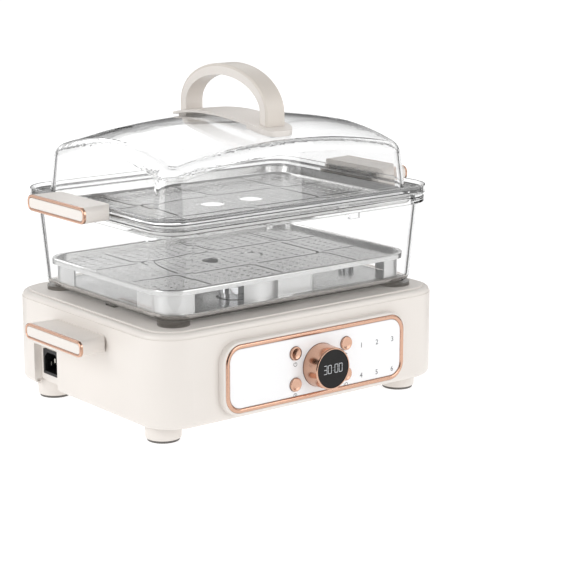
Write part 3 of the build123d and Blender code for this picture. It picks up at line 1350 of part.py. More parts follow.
def heating_ring(gap):
    """Ring-shaped heater in the pot's floor, with its two cold ends out of the bottom."""
    low = boiler_levels()[0] + BOILER_WALL / 2 + ELEMENT_TUBE
    ring = Pos(TURRET_X, BOILER_Y, low) * Torus(ELEMENT_RADIUS, ELEMENT_TUBE + gap)
    for x, y in boiler_places(ELEMENT_RADIUS, 12, 0.5)[:1] + boiler_places(ELEMENT_RADIUS, 12, -0.5)[:1]:
        ring += rod(x, y, boiler_levels()[0] - ELEMENT_TUBE, low, ELEMENT_TUBE / 2 + gap)
    return ring


def heating_element():
    """The heater itself."""
    return heating_ring(0)


def boiler_cover():
    """Cover of the pot with the spigot for the steam tube."""
    low = boiler_levels()[1]
    high = low + BOILER_COVER_THICKNESS
    cover = round_top(rod(TURRET_X, BOILER_Y, low, high, BOILER_RADIUS), BOILER_COVER_THICKNESS / 3)
    cover += rod(TURRET_X, TURRET_Y, high, high + SPIGOT_HEIGHT, TURRET_BORE + TUBE_WALL)
    return cover - rod(TURRET_X, TURRET_Y, low, high + SPIGOT_HEIGHT, TURRET_BORE)


def steam_tube():
    """Silicone tube from the spigot up over the turret's shank."""
    cover_top = boiler_levels()[1] + BOILER_COVER_THICKNESS
    low = cover_top + SEAT_GAP
    high = DECK - DECK_THICKNESS - NUT_THICKNESS - FIT_GAP
    inner = TURRET_BORE + TUBE_WALL + SEAT_GAP
    tube = rod(TURRET_X, TURRET_Y, low, high, inner + TUBE_WALL)
    return tube - rod(TURRET_X, TURRET_Y, low, high, inner)


def thermostat():
    """Boil-dry cut-out on the boiler's cover, with two tabs."""
    low = boiler_levels()[1] + BOILER_COVER_THICKNESS
    y = BOILER_Y + BOILER_RADIUS / 2
    body = rod(TURRET_X, y, low, low + THERMOSTAT_HEIGHT, THERMOSTAT_RADIUS)
    for side in (-1, 1):
        place = Pos(TURRET_X + side * THERMOSTAT_RADIUS / 2, y, low + THERMOSTAT_HEIGHT + PIN_HEIGHT)
        body += place * Box(SHEET, PIN_HEIGHT, 2 * PIN_HEIGHT)
    return body


def power_board():
    """Power board on its posts, with a relay, a capacitor and a transformer."""
    low = PLATE_TOP + POWER_BOARD_STANDOFF
    top = low + BOARD_THICKNESS
    place = Pos(POWER_BOARD_X, POWER_BOARD_Y, 0)
    outline = Rectangle(POWER_BOARD_LENGTH, POWER_BOARD_DEPTH)
    board = place * Pos(0, 0, low) * extrude(outline, BOARD_THICKNESS)
    for x, y, length, depth, height in (RELAY, TRANSFORMER):
        board += place * Pos(x, y, top + height / 2) * Box(length, depth, height)
    y = POWER_BOARD_Y - POWER_BOARD_DEPTH / 4
    return board + rod(POWER_BOARD_X, y, top, top + CAPACITOR_HEIGHT, CAPACITOR_RADIUS)


# ================================================================ every node, written out
def nodes():
    """All the steamer's pieces, as {node: part}."""
    found = {
        "lower_housing": lower_housing(),
        "top_cover": top_cover(),
        "bottom_plate": bottom_plate(),
        "feet": feet(),
        "foot_pads": foot_pads(),
        "housing_screws": housing_screws(),
        "control_bezel": control_bezel(),
        "panel_trim": panel_trim(),
        "panel_face": panel_face(),
        "button_switches": button_switches(),
        "control_board": control_board(),
        "knob_sleeve": knob_sleeve(),
        "display_holder": display_holder(),
        "display_lens": display_lens(),
        "encoder": encoder(),
        "inlet_socket": inlet_socket(),
        "inlet_pins": inlet_pins(),
        "base_handle_screws": base_handle_screws(),
        "boiler": boiler(),
        "boiler_cover": boiler_cover(),
        "heating_element": heating_element(),
        "thermostat": thermostat(),
        "steam_tube": steam_tube(),
        "power_board": power_board(),
        "steam_outlet": steam_outlet(),
        "outlet_gasket": outlet_gasket(),
        "outlet_cap": outlet_cap(),
        "outlet_nut": outlet_nut(),
        "box_handle_screws": box_handle_screws(),
        "floor_plate": floor_plate(),
        "drain_plug": drain_plug(),
        "lower_rack": lower_rack(),
        "rack_legs": rack_legs(),
        "upper_tray": upper_tray(),
        "lid_dome": lid_dome(),
        "lid_handle": lid_handle(),
        "lid_handle_cap": lid_handle_cap(),
        "lid_handle_base": lid_handle_base(),
        "lid_handle_washers": lid_handle_washers(),
        "lid_handle_screws": lid_handle_screws(),
    }
    for name, x, z in button_places():
        found[name] = button(x, z)
    found.update(handle_nodes(
        "base", -HOUSING_SIDE, HANDLE_STANDOUT, HANDLE_Y, BASE_HANDLE_Z, base_handle_bores()
    ))
    box_seat = -RIM_LENGTH / 2
    box_cut = ear(SEAT_GAP) + box_screw_space()
    found.update(handle_nodes("box", box_seat, BOX_HANDLE_STANDOUT, HANDLE_Y, BOX_HANDLE_Z, box_cut))
    box_holes = box_screw_space()
    found["steam_box"] = steam_box() - box_holes - mirror(box_holes, about=Plane.YZ)
    return found


os.makedirs("parts", exist_ok=True)
for node, part in nodes().items():
    export_step(part, f"parts/{node}.step")
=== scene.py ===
import math

import bpy
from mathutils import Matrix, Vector


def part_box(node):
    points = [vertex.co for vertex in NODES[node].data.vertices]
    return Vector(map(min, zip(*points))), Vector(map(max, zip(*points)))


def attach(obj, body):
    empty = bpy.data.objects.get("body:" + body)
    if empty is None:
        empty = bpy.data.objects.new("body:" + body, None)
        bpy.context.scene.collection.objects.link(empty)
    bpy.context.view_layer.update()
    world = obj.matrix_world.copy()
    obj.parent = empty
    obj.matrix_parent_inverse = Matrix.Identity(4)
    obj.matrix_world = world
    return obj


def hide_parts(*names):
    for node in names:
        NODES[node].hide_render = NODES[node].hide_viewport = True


bl_info = {
    "name": "Food steamer",
    "version": (1, 0, 0),
    "blender": (4, 5, 0),
    "location": "3D View > Sidebar > Steamer",
    "description": "Dresses the packed food steamer with its finishes, pressed sheets, marks and stage",
    "category": "Object",
}

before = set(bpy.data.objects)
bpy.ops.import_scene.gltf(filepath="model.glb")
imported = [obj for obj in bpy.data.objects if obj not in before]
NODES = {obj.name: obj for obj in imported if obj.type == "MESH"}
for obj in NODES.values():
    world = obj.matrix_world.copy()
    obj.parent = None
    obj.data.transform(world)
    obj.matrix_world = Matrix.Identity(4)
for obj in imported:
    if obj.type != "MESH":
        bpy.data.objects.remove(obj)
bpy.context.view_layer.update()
MM = 0.001
PROUD = 0.00006  # a printed mark stands this far off what it is printed on
SHEET_FLOORS = {"lower_rack": 0.1359, "upper_tray": 0.1914}  # height of each pressed sheet's flat top
FLAT = 0.0001  # a place this near a sheet's top counts as flat
FLAT_PROBES = 12  # looks taken round a place to see if it is flat
HOLE_SIDES = 12
DRILL_LENGTH = 0.006
SHARP_EDGE = math.radians(32)  # a sheet's steeper edges stay sharp
NUMBER_ROWS = (0.0657, 0.0360)
NUMBER_COLUMNS = (0.0560, 0.0755, 0.0950)
SIGN_DROP = 0.0106  # from a button's middle down to its sign
RING_STEPS = 40  # bars in a printed ring
RING_OVERLAP = 1.25
SIDE_CARD = {"width": 0.16, "height": 0.25, "tone": "#6A6A6A"}
NEAR_CARD = {"width": 0.42, "height": 0.34, "tone": "#1E1E1E"}


# ================================================================ small tools
def linear(code):
    """An sRGB hex colour as the linear RGBA that Blender's sockets take."""
    parts = [int(code[i : i + 2], 16) / 255 for i in (1, 3, 5)]
    return [c / 12.92 if c <= 0.04045 else ((c + 0.055) / 1.055) ** 2.4 for c in parts] + [1.0]


def hex_rgb(code):
    """The same without alpha, as a colour property's default."""
    return linear(code)[:3]


def rgba(colour):
    """A colour property as a socket value."""
    return (*colour, 1.0)


def add_node(tree, kind, settings=None, values=None, links=None):
    """Adds one node with its settings, its sockets' values and its links."""
    made = tree.nodes.new(kind)
    for name, value in (settings or {}).items():
        setattr(made, name, value)
    for socket, value in (values or {}).items():
        made.inputs[socket].default_value = value
    for socket, source in (links or {}).items():
        tree.links.new(source, made.inputs[socket])
    return made


def new_material(name):
    """An empty node material; returns it with its tree."""
    material = bpy.data.materials.new(name)
    material.use_nodes = True
    material.node_tree.nodes.clear()
    return material, material.node_tree


def finish_material(tree, shader, volume=None):
    """Links a shader, and a volume if there is one, to the material's output."""
    output = add_node(tree, "ShaderNodeOutputMaterial", links={"Surface": shader.outputs[0]})
    if volume:
        tree.links.new(volume.outputs[0], output.inputs["Volume"])


def scaled_coordinates(tree, size_mm, stretch=(1.0, 1.0, 1.0)):
    """Object coordinates scaled so that one unit is a pattern's real size."""
    place = add_node(tree, "ShaderNodeTexCoord")
    scale = [1.0 / (size_mm * MM * s) for s in stretch]
    return add_node(
        tree, "ShaderNodeMapping", values={"Scale": scale}, links={"Vector": place.outputs["Object"]}
    )


def noise(tree, size_mm, stretch=(1.0, 1.0, 1.0), detail=2.0, rough=0.5):
    """Noise whose features have a real size."""
    place = scaled_coordinates(tree, size_mm, stretch)
    return add_node(
        tree,
        "ShaderNodeTexNoise",
        values={"Scale": 1.0, "Detail": detail, "Roughness": rough},
        links={"Vector": place.outputs["Vector"]},
    )


def between(tree, factor, low, high):
    """A number that runs from low to high as a factor runs from 0.3 to 0.7."""
    made = add_node(
        tree,
        "ShaderNodeMapRange",
        values={"From Min": 0.3, "From Max": 0.7, "To Min": low, "To Max": high},
        links={"Value": factor},
    )
    return made.outputs["Result"]


def two_colours(tree, factor, first, second):
    """A mix of two colours."""
    made = add_node(
        tree, "ShaderNodeMix", settings={"data_type": "RGBA"}, links={"Factor": factor}
    )
    made.inputs["A"].default_value = first
    made.inputs["B"].default_value = second
    return made.outputs["Result"]


def bump(tree, height, depth_mm, strength=1.0):
    """A bump from a height, with its depth in millimetres."""
    made = add_node(
        tree,
        "ShaderNodeBump",
        values={"Strength": strength, "Distance": depth_mm * MM},
        links={"Height": height},
    )
    return made.outputs["Normal"]


def paint(material, *names):
    """Gives CAD nodes a material in every slot."""
    for name in names:
        data = NODES[name].data
        if not data.materials:
            data.materials.append(material)
        for slot in range(len(data.materials)):
            data.materials[slot] = material


def deselect():
    """Leaves nothing selected."""
    if bpy.context.object and bpy.context.object.mode != "OBJECT":
        bpy.ops.object.mode_set(mode="OBJECT")
    bpy.ops.object.select_all(action="DESELECT")


def only(obj):
    """Selects one object and makes it active."""
    deselect()
    obj.select_set(True)
    bpy.context.view_layer.objects.active = obj


def apply_modifiers(obj):
    """Applies all of an object's modifiers."""
    only(obj)
    for modifier in list(obj.modifiers):
        bpy.ops.object.modifier_apply(modifier=modifier.name)


def settle(obj, name, material, body):
    """Names a finished piece, puts its place into its mesh, and joins it to its body."""
    only(obj)
    bpy.ops.object.transform_apply(location=True, rotation=True, scale=True)
    obj.name = name
    obj.data.name = name
    obj.data.materials.clear()
    obj.data.materials.append(material)
    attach(obj, body)
    return obj


def joined(pieces):
    """Joins several new objects into one."""
    deselect()
    for piece in pieces:
        piece.select_set(True)
    bpy.context.view_layer.objects.active = pieces[0]
    bpy.ops.object.join()
    return bpy.context.object


# ================================================================ sizes and colours
class SteamerColours(bpy.types.PropertyGroup):
    """Colours of the finishes."""

    cream: bpy.props.FloatVectorProperty(
        name="Cream", description="Moulded housing, handles and feet", subtype="COLOR", size=3,
        min=0.0, max=1.0, default=hex_rgb("#E4DED8"),
    )
    rose: bpy.props.FloatVectorProperty(
        name="Rose gold", description="Rings, knob and buttons", subtype="COLOR", size=3,
        min=0.0, max=1.0, default=hex_rgb("#D9B19B"),
    )
    panel: bpy.props.FloatVectorProperty(
        name="Panel", description="White panel plate", subtype="COLOR", size=3,
        min=0.0, max=1.0, default=hex_rgb("#F4F4F5"),
    )
    ink: bpy.props.FloatVectorProperty(
        name="Ink", description="Printed numbers and marks", subtype="COLOR", size=3,
        min=0.0, max=1.0, default=hex_rgb("#4A4A4E"),
    )
    glow: bpy.props.FloatVectorProperty(
        name="Digits", description="Lit segments of the display", subtype="COLOR", size=3,
        min=0.0, max=1.0, default=hex_rgb("#9EA0A2"),
    )


class SteamerSheets(bpy.types.PropertyGroup):
    """Sizes of the perforated sheets."""

    hole_radius: bpy.props.FloatProperty(
        name="Hole radius", description="Radius of a small steam hole", unit="LENGTH",
        min=0.0005, default=2.15 * MM, precision=4,
    )
    column_pitch: bpy.props.FloatProperty(
        name="Column pitch", description="Distance between two columns of steam holes", unit="LENGTH",
        min=0.004, default=12.0 * MM, precision=4,
    )
    hole_pitch: bpy.props.FloatProperty(
        name="Hole pitch", description="Distance from hole to hole in a column", unit="LENGTH",
        min=0.004, default=8.0 * MM, precision=4,
    )
    hole_margin: bpy.props.FloatProperty(
        name="Hole margin", description="Flat sheet kept round each hole", unit="LENGTH",
        min=0.0, default=0.9 * MM, precision=4,
    )


class SteamerPanel(bpy.types.PropertyGroup):
    """Sizes and places of the panel's marks."""

    number_height: bpy.props.FloatProperty(
        name="Number height", description="Height of the printed numbers", unit="LENGTH",
        min=0.001, default=5.0 * MM, precision=4,
    )
    mark_radius: bpy.props.FloatProperty(
        name="Mark radius", description="Half the height of a printed sign", unit="LENGTH",
        min=0.001, default=1.9 * MM, precision=4,
    )
    digit_height: bpy.props.FloatProperty(
        name="Digit height", description="Height of the display's digits", unit="LENGTH",
        min=0.001, default=8.4 * MM, precision=4,
    )
    stroke: bpy.props.FloatProperty(
        name="Stroke", description="Width of a lit segment", unit="LENGTH",
        min=0.0001, default=0.5 * MM, precision=5,
    )


class SteamerStage(bpy.types.PropertyGroup):
    """Camera and light."""

    lens: bpy.props.FloatProperty(
        name="Lens", description="Focal length", unit="CAMERA", min=10.0, default=115.39
    )
    camera_place: bpy.props.FloatVectorProperty(
        name="Camera place", description="Where the camera stands", subtype="TRANSLATION", size=3,
        default=(-1.0545, -1.4290, 0.5117),
    )
    camera_turn: bpy.props.FloatVectorProperty(
        name="Camera turn", description="How the camera is turned", subtype="EULER", size=3,
        default=(math.radians(77.07), 0.0, math.radians(-38.37)),
    )
    key_power: bpy.props.FloatProperty(
        name="Key light", description="Power of the large soft key light", unit="POWER",
        min=0.0, default=15.0,
    )
    fill_power: bpy.props.FloatProperty(
        name="Fill light", description="Power of the fill light", unit="POWER", min=0.0, default=13.0
    )
    sky: bpy.props.FloatProperty(
        name="Sky", description="Brightness of the bright band round the sky", min=0.0, default=1.15
    )
    zenith: bpy.props.FloatProperty(
        name="Zenith", description="Brightness straight above, as a share of the bright band",
        min=0.0, default=0.35,
    )
    horizon: bpy.props.FloatProperty(
        name="Horizon", description="Brightness of the surroundings level with the object",
        min=0.0, default=0.16,
    )


# ================================================================ materials
def cream_abs(colour, name):
    """Injection-moulded ABS: a soft sheen from a fine spark-eroded mould texture, with faint clouding."""
    material, tree = new_material(name)
    clouds = noise(tree, 38.0, detail=3.0)
    grain = noise(tree, 0.55, detail=1.0)  # the mould's texture is finer; drawn at half a millimetre to show
    tint = [c * 0.965 for c in colour[:3]] + [1.0]
    shader = add_node(
        tree,
        "ShaderNodeBsdfPrincipled",
        values={"IOR": 1.53, "Coat Weight": 0.12, "Coat Roughness": 0.22},
        links={
            "Base Color": two_colours(tree, clouds.outputs["Fac"], colour, tint),
            "Roughness": between(tree, clouds.outputs["Fac"], 0.34, 0.42),
            "Normal": bump(tree, grain.outputs["Fac"], 0.012, 0.5),
        },
    )
    finish_material(tree, shader)
    return material


def rose_gold(colour, name, stretch):
    """Anodised aluminium in rose gold: a tinted metal with fine turning lines along one direction."""
    material, tree = new_material(name)
    lines = noise(tree, 0.35, stretch=stretch, detail=2.0)
    deep = [colour[0] * 0.90, colour[1] * 0.86, colour[2] * 0.84, 1.0]
    shader = add_node(
        tree,
        "ShaderNodeBsdfPrincipled",
        values={"Metallic": 1.0},
        links={
            "Base Color": two_colours(tree, lines.outputs["Fac"], colour, deep),
            "Roughness": between(tree, lines.outputs["Fac"], 0.16, 0.27),
            "Normal": bump(tree, lines.outputs["Fac"], 0.01, 0.25),
        },
    )
    finish_material(tree, shader)
    return material


def painted_acrylic(colour):
    """Back-painted acrylic plate: a flat even white under a clear gloss."""
    material, tree = new_material("white_painted_acrylic")
    waves = noise(tree, 60.0, detail=1.0)
    dim = [c * 0.985 for c in colour[:3]] + [1.0]
    shader = add_node(
        tree,
        "ShaderNodeBsdfPrincipled",
        values={"IOR": 1.49, "Coat Weight": 0.6, "Coat Roughness": 0.04},
        links={
            "Base Color": two_colours(tree, waves.outputs["Fac"], colour, dim),
            "Roughness": between(tree, waves.outputs["Fac"], 0.20, 0.26),
        },
    )
    finish_material(tree, shader)
    return material


def smoked_acrylic():
    """Smoked acrylic window: nearly black and mirror smooth, with the faintest mottle under the gloss."""
    material, tree = new_material("smoked_acrylic")
    mottle = noise(tree, 9.0, detail=2.0)
    shader = add_node(
        tree,
        "ShaderNodeBsdfPrincipled",
        values={"IOR": 1.33},
        links={
            "Base Color": two_colours(tree, mottle.outputs["Fac"], linear("#121010"), linear("#1A1817")),
            "Roughness": between(tree, mottle.outputs["Fac"], 0.10, 0.16),
        },
    )
    finish_material(tree, shader)
    return material


def clear_copolyester(name, wave_mm):
    """Moulded clear copolyester: clear face on, with painted shade that greys the wall where it is seen edge
    on, and slow mould ripples.
    """
    material, tree = new_material(name)
    ripples = noise(tree, wave_mm, detail=1.0)
    # painted shade: the wall's colour turns grey as it is seen more edge on, to draw dark edge lines
    slant = add_node(tree, "ShaderNodeLayerWeight", values={"Blend": 0.5})
    along = add_node(
        tree,
        "ShaderNodeMapRange",
        settings={"interpolation_type": "SMOOTHSTEP"},
        values={"From Min": 0.5, "From Max": 1.0, "To Min": 0.0, "To Max": 1.0},
        links={"Value": slant.outputs["Facing"]},
    )
    body = add_node(
        tree,
        "ShaderNodeBsdfPrincipled",
        values={"IOR": 1.5, "Transmission Weight": 1.0},
        links={
            "Base Color": two_colours(tree, along.outputs["Result"], linear("#FDFDFD"), linear("#C4C4C4")),
            "Roughness": between(tree, ripples.outputs["Fac"], 0.0, 0.015),
            "Normal": bump(tree, ripples.outputs["Fac"], 0.05, 0.04),
        },
    )
    clear = add_node(tree, "ShaderNodeBsdfTransparent", values={"Color": linear("#FBFBFB")})
    ray = add_node(tree, "ShaderNodeLightPath")
    shader = add_node(tree, "ShaderNodeMixShader", links={"Fac": ray.outputs["Is Shadow Ray"]})
    tree.links.new(body.outputs[0], shader.inputs[1])
    tree.links.new(clear.outputs[0], shader.inputs[2])
    depth = add_node(tree, "ShaderNodeVolumeAbsorption", values={"Color": linear("#BCBCBC"), "Density": 6.0})
    finish_material(tree, shader, depth)
    return material


def pressed_stainless(name, stretch, rough):
    """Cold-rolled stainless sheet: a bright satin metal with hair lines along the way it was rolled."""
    material, tree = new_material(name)
    hairs = noise(tree, 0.30, stretch=stretch, detail=3.0)  # real hair lines are finer; drawn to show
    clouds = noise(tree, 30.0, detail=2.0)
    shader = add_node(
        tree,
        "ShaderNodeBsdfPrincipled",
        values={"Metallic": 1.0},
        links={
            "Base Color": two_colours(tree, clouds.outputs["Fac"], linear("#D8D8D7"), linear("#C8C8C7")),
            "Roughness": between(tree, hairs.outputs["Fac"], rough - 0.03, rough + 0.04),
            "Normal": bump(tree, hairs.outputs["Fac"], 0.002, 0.1),
        },
    )
    finish_material(tree, shader)
    return material


def bright_chrome():
    """Chrome plate on turned brass: a near mirror with faint rings from the lathe."""
    material, tree = new_material("polished_chrome")
    rings = noise(tree, 0.5, stretch=(20.0, 20.0, 1.0), detail=1.0)
    shader = add_node(
        tree,
        "ShaderNodeBsdfPrincipled",
        values={"Metallic": 1.0, "Base Color": linear("#DCDDDF")},
        links={
            "Roughness": between(tree, rings.outputs["Fac"], 0.04, 0.10),
            "Normal": bump(tree, rings.outputs["Fac"], 0.004, 0.3),
        },
    )
    finish_material(tree, shader)
    return material


def plain_moulding(name, dark, light, rough, grain_mm):
    """Moulded or cast part with an even matte skin: two close tones and a fine grain."""
    material, tree = new_material(name)
    grain = noise(tree, grain_mm, detail=2.0)
    shader = add_node(
        tree,
        "ShaderNodeBsdfPrincipled",
        values={"IOR": 1.5},
        links={
            "Base Color": two_colours(tree, grain.outputs["Fac"], linear(dark), linear(light)),
            "Roughness": between(tree, grain.outputs["Fac"], rough - 0.06, rough + 0.06),
            "Normal": bump(tree, grain.outputs["Fac"], 0.02, 0.4),
        },
    )
    finish_material(tree, shader)
    return material


def small_metal(name, light, dark, rough):
    """Plated or cast small metal parts: an even metal with a fine grain."""
    material, tree = new_material(name)
    grain = noise(tree, 0.8, detail=2.0)
    shader = add_node(
        tree,
        "ShaderNodeBsdfPrincipled",
        values={"Metallic": 1.0},
        links={
            "Base Color": two_colours(tree, grain.outputs["Fac"], linear(light), linear(dark)),
            "Roughness": between(tree, grain.outputs["Fac"], rough - 0.05, rough + 0.08),
            "Normal": bump(tree, grain.outputs["Fac"], 0.01, 0.3),
        },
    )
    finish_material(tree, shader)
    return material


def printed_ink(colour):
    """Screen-printed ink: an even matte grey with a slightly broken tone."""
    material, tree = new_material("screen_printed_ink")
    grain = noise(tree, 0.4, detail=1.0)
    pale = [min(1.0, c * 1.25) for c in colour[:3]] + [1.0]
    shader = add_node(
        tree,
        "ShaderNodeBsdfPrincipled",
        values={"IOR": 1.5},
        links={
            "Base Color": two_colours(tree, grain.outputs["Fac"], colour, pale),
            "Roughness": between(tree, grain.outputs["Fac"], 0.45, 0.6),
        },
    )
    finish_material(tree, shader)
    return material


def lit_segments(colour):
    """Lit display segment: a pale diffuser that glows, a little unevenly."""
    material, tree = new_material("lit_display_segments")
    glow = noise(tree, 1.5, detail=0.0)
    shader = add_node(
        tree,
        "ShaderNodeBsdfPrincipled",
        values={"Base Color": colour, "Emission Color": colour, "Roughness": 0.5},
        links={"Emission Strength": between(tree, glow.outputs["Fac"], 0.75, 0.95)},
    )
    finish_material(tree, shader)
    return material


def pale_ground():
    """Matte pale floor."""
    material, tree = new_material("pale_floor")
    shader = add_node(
        tree,
        "ShaderNodeBsdfPrincipled",
        values={
            "Base Color": linear("#BEBEBE"), "Roughness": 0.9, "Specular IOR Level": 0.0,
            "Emission Color": linear("#FFFFFF"), "Emission Strength": 0.71,
        },
    )
    finish_material(tree, shader)
    return material


# ================================================================ pieces
CREAM_NODES = [
    "lower_housing", "top_cover", "bottom_plate", "feet", "control_bezel", "base_handle_left",
    "base_handle_right", "base_handle_insert_left", "base_handle_insert_right", "box_handle_left",
    "box_handle_right", "box_handle_insert_left", "box_handle_insert_right", "lid_handle", "lid_handle_base",
]
RING_NODES = [
    "panel_trim", "base_handle_trim_left", "base_handle_trim_right", "box_handle_trim_left",
    "box_handle_trim_right",
]
BUTTON_NODES = ["button_upper_left", "button_lower_left", "button_upper_right", "button_lower_right"]


class STEAMER_OT_mouldings(bpy.types.Operator):
    """Gives the cream mouldings their finish"""

    bl_idname = "steamer.mouldings"
    bl_label = "Cream mouldings"

    def execute(self, context):
        colours = context.scene.steamer_colours
        paint(cream_abs(rgba(colours.cream), "cream_moulded_abs"), *CREAM_NODES)
        cap = [share * shade for share, shade in zip(colours.cream, (0.86, 0.84, 0.81))]
        paint(cream_abs(rgba(cap), "warm_grey_moulded_abs"), "lid_handle_cap")
        return {"FINISHED"}


class STEAMER_OT_rose_gold(bpy.types.Operator):
    """Gives the rings, the knob and the buttons their rose-gold finish"""

    bl_idname = "steamer.rose_gold"
    bl_label = "Rose-gold metal"

    def execute(self, context):
        colour = rgba(context.scene.steamer_colours.rose)
        paint(rose_gold(colour, "rose_gold_anodised_rings", (30.0, 30.0, 1.0)), *RING_NODES)
        turned = rose_gold(colour, "rose_gold_anodised_turned", (12.0, 1.0, 12.0))
        paint(turned, "knob_sleeve", *BUTTON_NODES)
        return {"FINISHED"}


class STEAMER_OT_clear_walls(bpy.types.Operator):
    """Gives the steam box and the lid their clear walls"""

    bl_idname = "steamer.clear_walls"
    bl_label = "Clear walls"

    def execute(self, context):
        paint(clear_copolyester("clear_moulded_box", 70.0), "steam_box")
        paint(clear_copolyester("clear_moulded_lid", 90.0), "lid_dome")
        return {"FINISHED"}


class STEAMER_OT_fittings(bpy.types.Operator):
    """Gives the panel, the inlet, the turret and the inner parts their finishes"""

    bl_idname = "steamer.fittings"
    bl_label = "Fittings"

    def execute(self, context):
        colours = context.scene.steamer_colours
        paint(painted_acrylic(rgba(colours.panel)), "panel_face")
        paint(smoked_acrylic(), "display_lens")
        paint(bright_chrome(), "steam_outlet", "outlet_cap", "drain_plug")
        black = plain_moulding("black_moulded_nylon", "#0C0C0D", "#161617", 0.42, 0.6)
        paint(black, "inlet_socket", "display_holder", "encoder", "button_switches", "thermostat")
        paint(plain_moulding("black_silicone", "#131313", "#1D1D1D", 0.55, 0.8), "outlet_gasket")
        paint(plain_moulding("grey_rubber", "#5E5B58", "#6E6A66", 0.75, 0.9), "foot_pads")
        pale = plain_moulding("pale_silicone", "#C9C5BE", "#D6D2CB", 0.5, 1.2)
        paint(pale, "steam_tube", "lid_handle_washers")
        boards = plain_moulding("green_solder_mask", "#0E4A2A", "#166038", 0.35, 1.5)
        paint(boards, "control_board", "power_board")
        screws = small_metal("zinc_plated_steel", "#C9CBCC", "#AEB1B3", 0.28)
        paint(screws, "housing_screws", "base_handle_screws", "box_handle_screws", "lid_handle_screws")
        paint(small_metal("nickel_plated_pins", "#D8D5CC", "#C2BFB6", 0.18), "inlet_pins", "outlet_nut")
        paint(small_metal("cast_aluminium", "#B4B5B6", "#9C9D9F", 0.45), "boiler", "boiler_cover")
        paint(small_metal("sheathed_steel", "#8C8A87", "#7A7875", 0.4), "heating_element")
        return {"FINISHED"}


# ---------------------------------------------------------------- perforated sheets
def sheet_copy(node):
    """A copy of a CAD node's mesh with its doubles merged, free of the frame."""
    source = NODES[node]
    copy = bpy.data.objects.new(node + "_copy", source.data.copy())
    bpy.context.scene.collection.objects.link(copy)
    only(copy)
    bpy.ops.object.mode_set(mode="EDIT")
    bpy.ops.mesh.select_all(action="SELECT")
    bpy.ops.mesh.remove_doubles(threshold=0.00001)
    bpy.ops.object.mode_set(mode="OBJECT")
    bpy.ops.mesh.customdata_custom_splitnormals_clear()
    return copy


def flat_all_round(sheet, x, y, top, reach):
    """True if the sheet's top is flat and unbroken on a circle round a place."""
    down = Vector((0.0, 0.0, -1.0))
    for step in range(FLAT_PROBES):
        angle = step * math.tau / FLAT_PROBES
        start = Vector((x + reach * math.cos(angle), y + reach * math.sin(angle), top + 0.004))
        hit, place, _, _ = sheet.ray_cast(start, down)
        if not hit or abs(place.z - top) > FLAT:
            return False
    return True


def drill(sheet, top, sheets):
    """Drills a staggered field of small holes wherever the sheet's floor is flat."""
    low, high = [Vector(corner) for corner in (sheet.bound_box[0], sheet.bound_box[6])]
    middle = (low + high) / 2
    wide, pitch = 2 * sheets.column_pitch, sheets.hole_pitch
    across = int((high.x - low.x) / wide / 2) + 1
    along = int((high.y - low.y) / pitch / 2) + 1
    deselect()
    bpy.ops.mesh.primitive_cylinder_add(
        vertices=HOLE_SIDES,
        radius=sheets.hole_radius,
        depth=DRILL_LENGTH,
        location=(middle.x - across * wide, middle.y - along * pitch, top),
    )
    drills = bpy.context.object
    sides = len(drills.data.vertices)
    for count, offset in (
        (2 * across + 1, (wide, 0.0, 0.0)),
        (2 * along + 1, (0.0, pitch, 0.0)),
        (2, (wide / 2, pitch / 2, 0.0)),
    ):
        array = drills.modifiers.new("row", "ARRAY")
        array.use_relative_offset = False
        array.use_constant_offset = True
        array.constant_offset_displace = offset
        array.count = count
    apply_modifiers(drills)
    bpy.ops.object.transform_apply(location=True, rotation=True, scale=True)
    mesh = drills.data
    reach = sheets.hole_radius + sheets.hole_margin
    drop = [False] * len(mesh.vertices)
    for first in range(0, len(mesh.vertices), sides):
        group = [mesh.vertices[i].co for i in range(first, first + sides)]
        centre = sum(group, Vector()) / sides
        if not flat_all_round(sheet, centre.x, centre.y, top, reach):
            drop[first : first + sides] = [True] * sides
    only(drills)
    bpy.ops.object.mode_set(mode="EDIT")
    bpy.ops.mesh.select_mode(type="VERT")
    bpy.ops.mesh.select_all(action="DESELECT")
    bpy.ops.object.mode_set(mode="OBJECT")
    mesh.vertices.foreach_set("select", drop)
    bpy.ops.object.mode_set(mode="EDIT")
    bpy.ops.mesh.delete(type="VERT")
    bpy.ops.object.mode_set(mode="OBJECT")
    if not mesh.vertices:
        raise RuntimeError("no flat place was found for the holes of " + sheet.name)
    cut = sheet.modifiers.new("holes", "BOOLEAN")
    cut.operation = "DIFFERENCE"
    cut.solver = "EXACT"
    cut.object = drills
    apply_modifiers(sheet)
    bpy.data.objects.remove(drills)
    only(sheet)
    bpy.ops.object.shade_smooth_by_angle(angle=SHARP_EDGE)
    flats = sheet.modifiers.new("flats", "WEIGHTED_NORMAL")  # keeps the floor flat up to its roundings
    flats.keep_sharp = True
    flats.weight = 100
    apply_modifiers(sheet)
    return sheet


